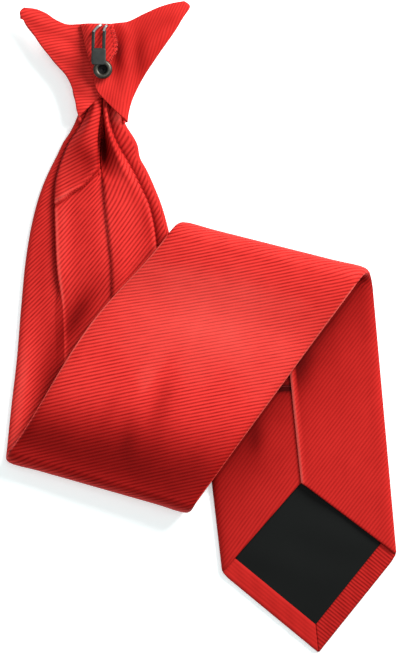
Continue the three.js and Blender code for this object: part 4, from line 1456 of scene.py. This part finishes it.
def makeHemSide(sign):
    line = roundLine(hem["line"], [4] * (len(hem["line"]) - 1))
    reach = blade["cornerWidth"] / 2 - 0.2
    edge = math.hypot(1, slope)
    x = np.concatenate([np.linspace(0, reach - 3, 50)[:-1], np.linspace(reach - 3, reach, 10)])
    across = sign * np.broadcast_to(x[:, None], (len(x), len(line)))
    fromMiddle = np.abs(across)
    narrow = mix(1, 0.12, smooth((fromMiddle - reach) / hem["cornerRun"] + 1))
    along = hemEdge(0) - fromMiddle * slope - line[:, 0] * edge * narrow
    height = layerRise + line[:, 1] + hem["wave"] * np.sin(fromMiddle * 0.9 + sign)
    middle = onTipPlan(across, along, height)
    alongEdge = (across - sign * slope * along) / edge
    inward = (sign * slope * across + along) / edge
    cloth = np.stack([alongEdge, inward] if sign < 0 else [inward, alongEdge], -1)
    material = hemSatin if sign < 0 else redSatin
    shade = np.full(across.shape, hem["shade"])
    thin = thinRim(*across.shape, hem["rimShare"], ends=False)
    return makeWall("hem", middle, hem["wall"], cloth, material, shade, thin, flip=sign < 0)


def joinPieces(name, parts):
    bpy.ops.object.select_all(action="DESELECT")
    for part in parts:
        part.select_set(True)
    bpy.context.view_layer.objects.active = parts[0]
    bpy.ops.object.join()
    parts[0].name = parts[0].data.name = name
    return parts[0]


hemSides = [makeHemSide(sign) for sign in (-1, 1)]
tipHem = addPiece("tip_hem", joinPieces("tip_hem_cloth", hemSides))

tipping = {
    "wall": 0.6,
    "grid": (60, 70),
    "underHem": 0.72,  # share of the hem's width that it reaches under
    "underFlaps": 5.0,
    "lift": 0.17,
}


def makeLining():
    reach = hemReach - hem["width"] / 2
    rows = np.linspace(0, 1, tipping["grid"][0])[:, None]
    across = np.broadcast_to(np.linspace(-1, 1, tipping["grid"][1]) * reach, tipping["grid"])
    fromMiddle = np.abs(across)
    low = hemEdge(0) - fromMiddle * slope - hemDrop * tipping["underHem"]
    opening = blade["tipOpening"] * (1 - fromMiddle / (blade["cornerWidth"] / 2))
    along = mix(low, -opening - tipping["underFlaps"], rows)
    ripple = 0.12 * np.sin(across * 0.21 + along * 0.1) + 0.1 * np.sin(along * 0.26 - across * 0.13)
    height = layerRise + tipping["lift"] + ripple * np.sin(math.pi * rows)
    middle = onTipPlan(across, along, height)
    cloth = np.stack([across, along], -1)
    return makeWall("tip_lining_cloth", middle, tipping["wall"], cloth, blackLining)


tipLining = addPiece("tip_lining", makeLining())
print("tip hem and lining")


# Spring clip and eyelet, in millimetres on the knot; heights are above the table
clip = {
    "arms": ((-4.15, 1.5), (0.75, 1.6)),  # middle and width of each arm at the plate
    "plate": (-4.85, 1.75, 26.6, 34.2),  # left, right, low and high edge
    "hooks": (((-4.2, 41.5), (-0.5, 44.9)), ((0.5, 41.9), (2.0, 44.7))),
    "corner": 1.3,
    "metal": 0.7,
    "low": 17.75,
    "rim": 0.16,
    "armThick": 0.62,
    "armPath": [  # beside the arm's middle, rise, below the metal's middle
        (0, 33.0, 0.02),
        (0, 36.0, 0.15),
        (0.03, 39.0, 0.6),
        (0.12, 41.0, 1.1),
        (0.35, 42.4, 1.7),
    ],
    "hookThick": 0.45,
    "hookWidth": 1.15,
    "hookPath": [  # shares of the way from start to end, across and up, and how far below
        (0, 0, 0.85),
        (0.35, 0.5, 0.95),
        (0.75, 0.88, 1.2),
        (1, 1, 1.9),
        (1.02, 0.99, 3.4),
    ],
    "hookTip": (0.4, 5.0),
    "ringAt": (0.35, 24.65),
    "ringLow": 15.4,
    "ring": [  # radius and height of its section
        (2.3, 0.1),
        (4.1, 0.05),
        (4.38, 0.5),
        (4.32, 1.15),
        (3.95, 1.75),
        (3.3, 2.06),
        (2.55, 1.98),
        (2.05, 1.5),
        (2.1, 0.4),
    ],
    # floor of the eyelet's hollow, near black as painted shade: radius and height of its section
    "cup": [(0.05, 0.05), (2.4, 0.05), (2.4, 0.75), (1.8, 0.45), (1.0, 0.32), (0.05, 0.3)],
}


def closedMesh(name, points, faces, materials, pick=None):
    mesh = bpy.data.meshes.new(name)
    mesh.from_pydata((np.asarray(points) * mm).tolist(), [], faces)
    for material in materials:
        mesh.materials.append(material)
    mesh.polygons.foreach_set("use_smooth", [True] * len(mesh.polygons))
    if pick is not None:
        mesh.polygons.foreach_set("material_index", pick)
    mesh.update()
    piece = bpy.data.objects.new(name, mesh)
    scene.collection.objects.link(piece)
    return piece


def loft(name, rings, material, closed=False):
    # skin over rings of equal count, with a cap on each end or joined end to end
    rings = np.asarray(rings)
    count, sides, _ = rings.shape
    index = np.arange(count * sides).reshape(count, sides)
    faces = []
    for i in range(count if closed else count - 1):
        a, b = index[i], index[(i + 1) % count]
        for j in range(sides):
            k = (j + 1) % sides
            faces.append([int(a[j]), int(a[k]), int(b[k]), int(b[j])])
    if not closed:
        faces.append([int(v) for v in index[0][::-1]])
        faces.append([int(v) for v in index[-1]])
    return closedMesh(name, rings.reshape(-1, 3), faces, [material])


def roundedOutline(left, right, low, high, radius, steps=8):
    corners = ((right, high, 0), (left, high, 90), (left, low, 180), (right, low, 270))
    line = []
    for x, y, start in corners:
        cx = x - radius if x == right else x + radius
        cy = y - radius if y == high else y + radius
        for i in range(steps + 1):
            turn = math.radians(start + 90 * i / steps)
            line.append((cx + radius * math.cos(turn), cy + radius * math.sin(turn)))
    return np.array(line)


def makePlate():
    left, right, low, high = clip["plate"]
    rings = []
    lower = [(1.0, 0), (clip["rim"], 0), (0.05, 0.05), (0, clip["rim"])]  # inset and height
    upper = [(inset, clip["metal"] - height) for inset, height in lower[::-1]]
    for inset, height in lower + upper:
        radius = max(clip["corner"] - inset, 0.3)
        line = roundedOutline(left + inset, right - inset, low + inset, high - inset, radius)
        lift = clip["low"] + height - 0.25 * smooth((line[:, 1] - 33) / 3)
        rings.append(onKnot(line[:, 0], line[:, 1], lift))
    return loft("clip_plate", rings, steel["darkSteel"])


def strip(name, path, widths, thick, material):
    # flat bar with soft edges along a path of across, rise and height
    path = np.asarray(path, float)
    ahead = np.gradient(path, axis=0)
    ahead /= np.linalg.norm(ahead, axis=1, keepdims=True)
    side = np.cross(ahead, up)
    side = np.where(np.linalg.norm(side, axis=1, keepdims=True) < 0.2, [1.0, 0, 0], side)
    side /= np.linalg.norm(side, axis=1, keepdims=True)
    out = np.cross(side, ahead)
    turns = np.radians(np.arange(0, 360, 22.5) + 11.25)
    flat = np.sign(np.cos(turns)) * np.abs(np.cos(turns)) ** 0.45
    tall = np.sign(np.sin(turns)) * np.abs(np.sin(turns)) ** 0.45
    rings = []
    for place, s, o, width in zip(path, side, out, widths):
        local = place + s * flat[:, None] * width / 2 + o * tall[:, None] * thick / 2
        rings.append(onKnot(*local.T))
    return loft(name, rings, material)


def makeArms():
    middle = clip["low"] + clip["metal"] / 2
    steps = np.linspace(0, 1, 40)
    hookWidths = clip["hookWidth"] * mix(1, 0.5, smooth((steps - 0.7) / 0.3))
    tipDrop, tipBelow = clip["hookTip"]
    parts = []
    for (x, width), (start, end) in zip(clip["arms"], clip["hooks"]):
        arm = [(x + beside, rise, middle - below) for beside, rise, below in clip["armPath"]]
        path = evenCurve(arm, steps)
        parts.append(strip("arm", path, [width] * 40, clip["armThick"], steel["darkSteel"]))
        # bright hook at the end of the arm, bent over into the knot
        hook = [
            (mix(start[0], end[0], a), mix(start[1], end[1], b), middle - below)
            for a, b, below in clip["hookPath"]
        ]
        hook.append((end[0], end[1] - tipDrop, middle - tipBelow))
        bend = evenCurve(hook, steps)
        parts.append(strip("hook", bend, hookWidths, clip["hookThick"], steel["brightSteel"]))
    return parts


def ringMesh(name, profile, count, material):
    x, y = clip["ringAt"]
    reach, height = np.array(profile).T
    rings = [
        onKnot(x + reach * math.cos(turn), y + reach * math.sin(turn), clip["ringLow"] + height)
        for turn in np.linspace(0, 2 * math.pi, count, endpoint=False)
    ]
    return loft(name, rings, material, closed=True)


springClip = joinPieces("spring_clip_metal", [makePlate()] + makeArms())
addPiece("spring_clip", springClip)
eyeletParts = [
    ringMesh("ring", roundLine(clip["ring"], [2] + [3] * 7), 56, steel["ringSteel"]),
    ringMesh("cup", clip["cup"], 40, steel["shadedHollowSteel"]),
]
addPiece("clip_eyelet", joinPieces("clip_eyelet_metal", eyeletParts))
print("clip and eyelet")


# Stitches, laid along paths by a node tree: short rounded threads, one after the other
def threadTree():
    tree = bpy.data.node_groups.new("threadRun", "GeometryNodeTree")
    face = tree.interface
    face.new_socket("Geometry", in_out="INPUT", socket_type="NodeSocketGeometry")
    for name, value in (("Spacing", 0.0015), ("Length", 0.0011), ("Thickness", 0.0002), ("Slant", 0.0)):
        socket = face.new_socket(name, in_out="INPUT", socket_type="NodeSocketFloat")
        socket.default_value = value
    face.new_socket("Thread", in_out="INPUT", socket_type="NodeSocketMaterial")
    face.new_socket("Geometry", in_out="OUTPUT", socket_type="NodeSocketGeometry")
    given = addNode(tree, "NodeGroupInput").outputs
    curve = addNode(tree, "GeometryNodeMeshToCurve")
    tree.links.new(given["Geometry"], curve.inputs["Mesh"])
    spots = addNode(tree, "GeometryNodeCurveToPoints", mode="LENGTH")
    tree.links.new(curve.outputs["Curve"], spots.inputs["Curve"])
    tree.links.new(given["Spacing"], spots.inputs["Length"])
    ball = addNode(tree, "GeometryNodeMeshIcoSphere")
    ball.inputs["Radius"].default_value = 0.5
    ball.inputs["Subdivisions"].default_value = 2
    loose = addNode(tree, "FunctionNodeRandomValue", data_type="FLOAT")
    for socket, value in (("Min", 0.85), ("Max", 1.12), ("Seed", 5)):
        next(s for s in loose.inputs if s.name == socket and s.enabled).default_value = value
    chance = next(s for s in loose.outputs if s.enabled)
    size = addNode(tree, "ShaderNodeCombineXYZ")
    tree.links.new(given["Thickness"], size.inputs["X"])
    tree.links.new(given["Thickness"], size.inputs["Y"])
    tree.links.new(maths(tree, "MULTIPLY", chance, given["Length"]), size.inputs["Z"])
    lean = addNode(tree, "FunctionNodeRotateRotation", rotation_space="GLOBAL")
    about = addNode(tree, "FunctionNodeAxisAngleToRotation")
    about.inputs["Axis"].default_value = (0, 0, 1)
    tree.links.new(given["Slant"], about.inputs["Angle"])
    tree.links.new(spots.outputs["Rotation"], lean.inputs["Rotation"])
    tree.links.new(about.outputs["Rotation"], lean.inputs["Rotate By"])
    place = addNode(tree, "GeometryNodeInstanceOnPoints")
    tree.links.new(spots.outputs["Points"], place.inputs["Points"])
    tree.links.new(ball.outputs["Mesh"], place.inputs["Instance"])
    tree.links.new(lean.outputs["Rotation"], place.inputs["Rotation"])
    tree.links.new(size.outputs["Vector"], place.inputs["Scale"])
    real = addNode(tree, "GeometryNodeRealizeInstances")
    tree.links.new(place.outputs["Instances"], real.inputs["Geometry"])
    painted = addNode(tree, "GeometryNodeSetMaterial")
    tree.links.new(real.outputs["Geometry"], painted.inputs["Geometry"])
    tree.links.new(given["Thread"], painted.inputs["Material"])
    done = addNode(tree, "NodeGroupOutput")
    tree.links.new(painted.outputs["Geometry"], done.inputs["Geometry"])
    return tree


def stitchAlong(name, path, material, spacing, length, thickness, slant=0.0):
    mesh = bpy.data.meshes.new(name + "Path")
    edges = [(i, i + 1) for i in range(len(path) - 1)]
    mesh.from_pydata((np.asarray(path) * mm).tolist(), edges, [])
    guide = bpy.data.objects.new(name + "Path", mesh)
    scene.collection.objects.link(guide)
    modifier = guide.modifiers.new("threads", "NODES")
    modifier.node_group = threads
    values = {
        "Spacing": spacing * mm,
        "Length": length * mm,
        "Thickness": thickness * mm,
        "Slant": math.radians(slant),
        "Thread": material,
    }
    for item in threads.interface.items_tree:
        if item.in_out == "INPUT" and item.name in values:
            modifier[item.identifier] = values[item.name]
    graph = bpy.context.evaluated_depsgraph_get()
    made = bpy.data.meshes.new_from_object(guide.evaluated_get(graph))
    bpy.data.objects.remove(guide)
    bpy.data.meshes.remove(mesh)
    made.name = name
    piece = bpy.data.objects.new(name, made)
    scene.collection.objects.link(piece)
    return piece


def makeThread(name, light):
    material, tree, shader = newMaterial(name)
    place = addNode(tree, "ShaderNodeTexCoord").outputs["Object"]
    twist = addNoise(tree, stretch(tree, place, (9000, 9000, 9000)), 1.0, 2.0)
    dark = tuple(c * 0.45 for c in light[:3]) + (1,)
    tree.links.new(mixColours(tree, twist, light, dark), shader.inputs["Base Color"])
    setInputs(shader, {"Roughness": 0.55, "Specular IOR Level": 0.2})
    return material


def layOnTail(points):  # lays a path on the left flap of the tail
    rows = np.flatnonzero(bladePart == 4)
    shell = bladeFinal[rows][:, 1 : leftCreaseColumn + 1].reshape(-1, 3)
    path = []
    for x, y in points:
        nearest = shell[np.argmin(((shell[:, :2] - (x, y)) ** 2).sum(1))]
        path.append([x, y, nearest[2] + blade["wall"] / 2])
    return np.array(path)


threads = threadTree()
redThread = makeThread("redThread", (0.5, 0.03, 0.026, 1))
darkThread = makeThread("darkThread", (0.16, 0.004, 0.004, 1))

# Overlocked edge of the tab: a slanting thread over each step of its right side.
# Spacing, length, thickness and slant of the threads
overlock = (1.0, 1.5, 0.34, 62)
tack = (1.5, 0.9, 0.26)
joinThread = (0.66, 0.7, 0.42)
tabEdge = evenCurve(np.array(tabRows)[4:11, [2, 0]], np.linspace(0, 1, 80))
tabTop = tabLevel + knot["tabWall"] / 2 + 0.02
tabPath = onKnot(tabEdge[:, 0] - 0.35, tabEdge[:, 1], tabTop)
stitching = [
    stitchAlong("overlock", tabPath, redThread, *overlock),
    stitchAlong("tabTack", tabPath - hangSide * 1.3, darkThread, *tack),
]
tabStitching = joinPieces("tab_stitching", stitching)
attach(tabStitching, "root")

# Seam across the left flap of the tail, where two lengths of cloth are joined
seamAt = [(x, -27.8 + 0.03 * (x - 35)) for x in np.linspace(34.6, 41.6, 30)]
seamStitching = stitchAlong("seam_stitching", layOnTail(seamAt), darkThread, *joinThread)
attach(seamStitching, "root")
print("stitches", len(tabStitching.data.polygons) + len(seamStitching.data.polygons), "faces")
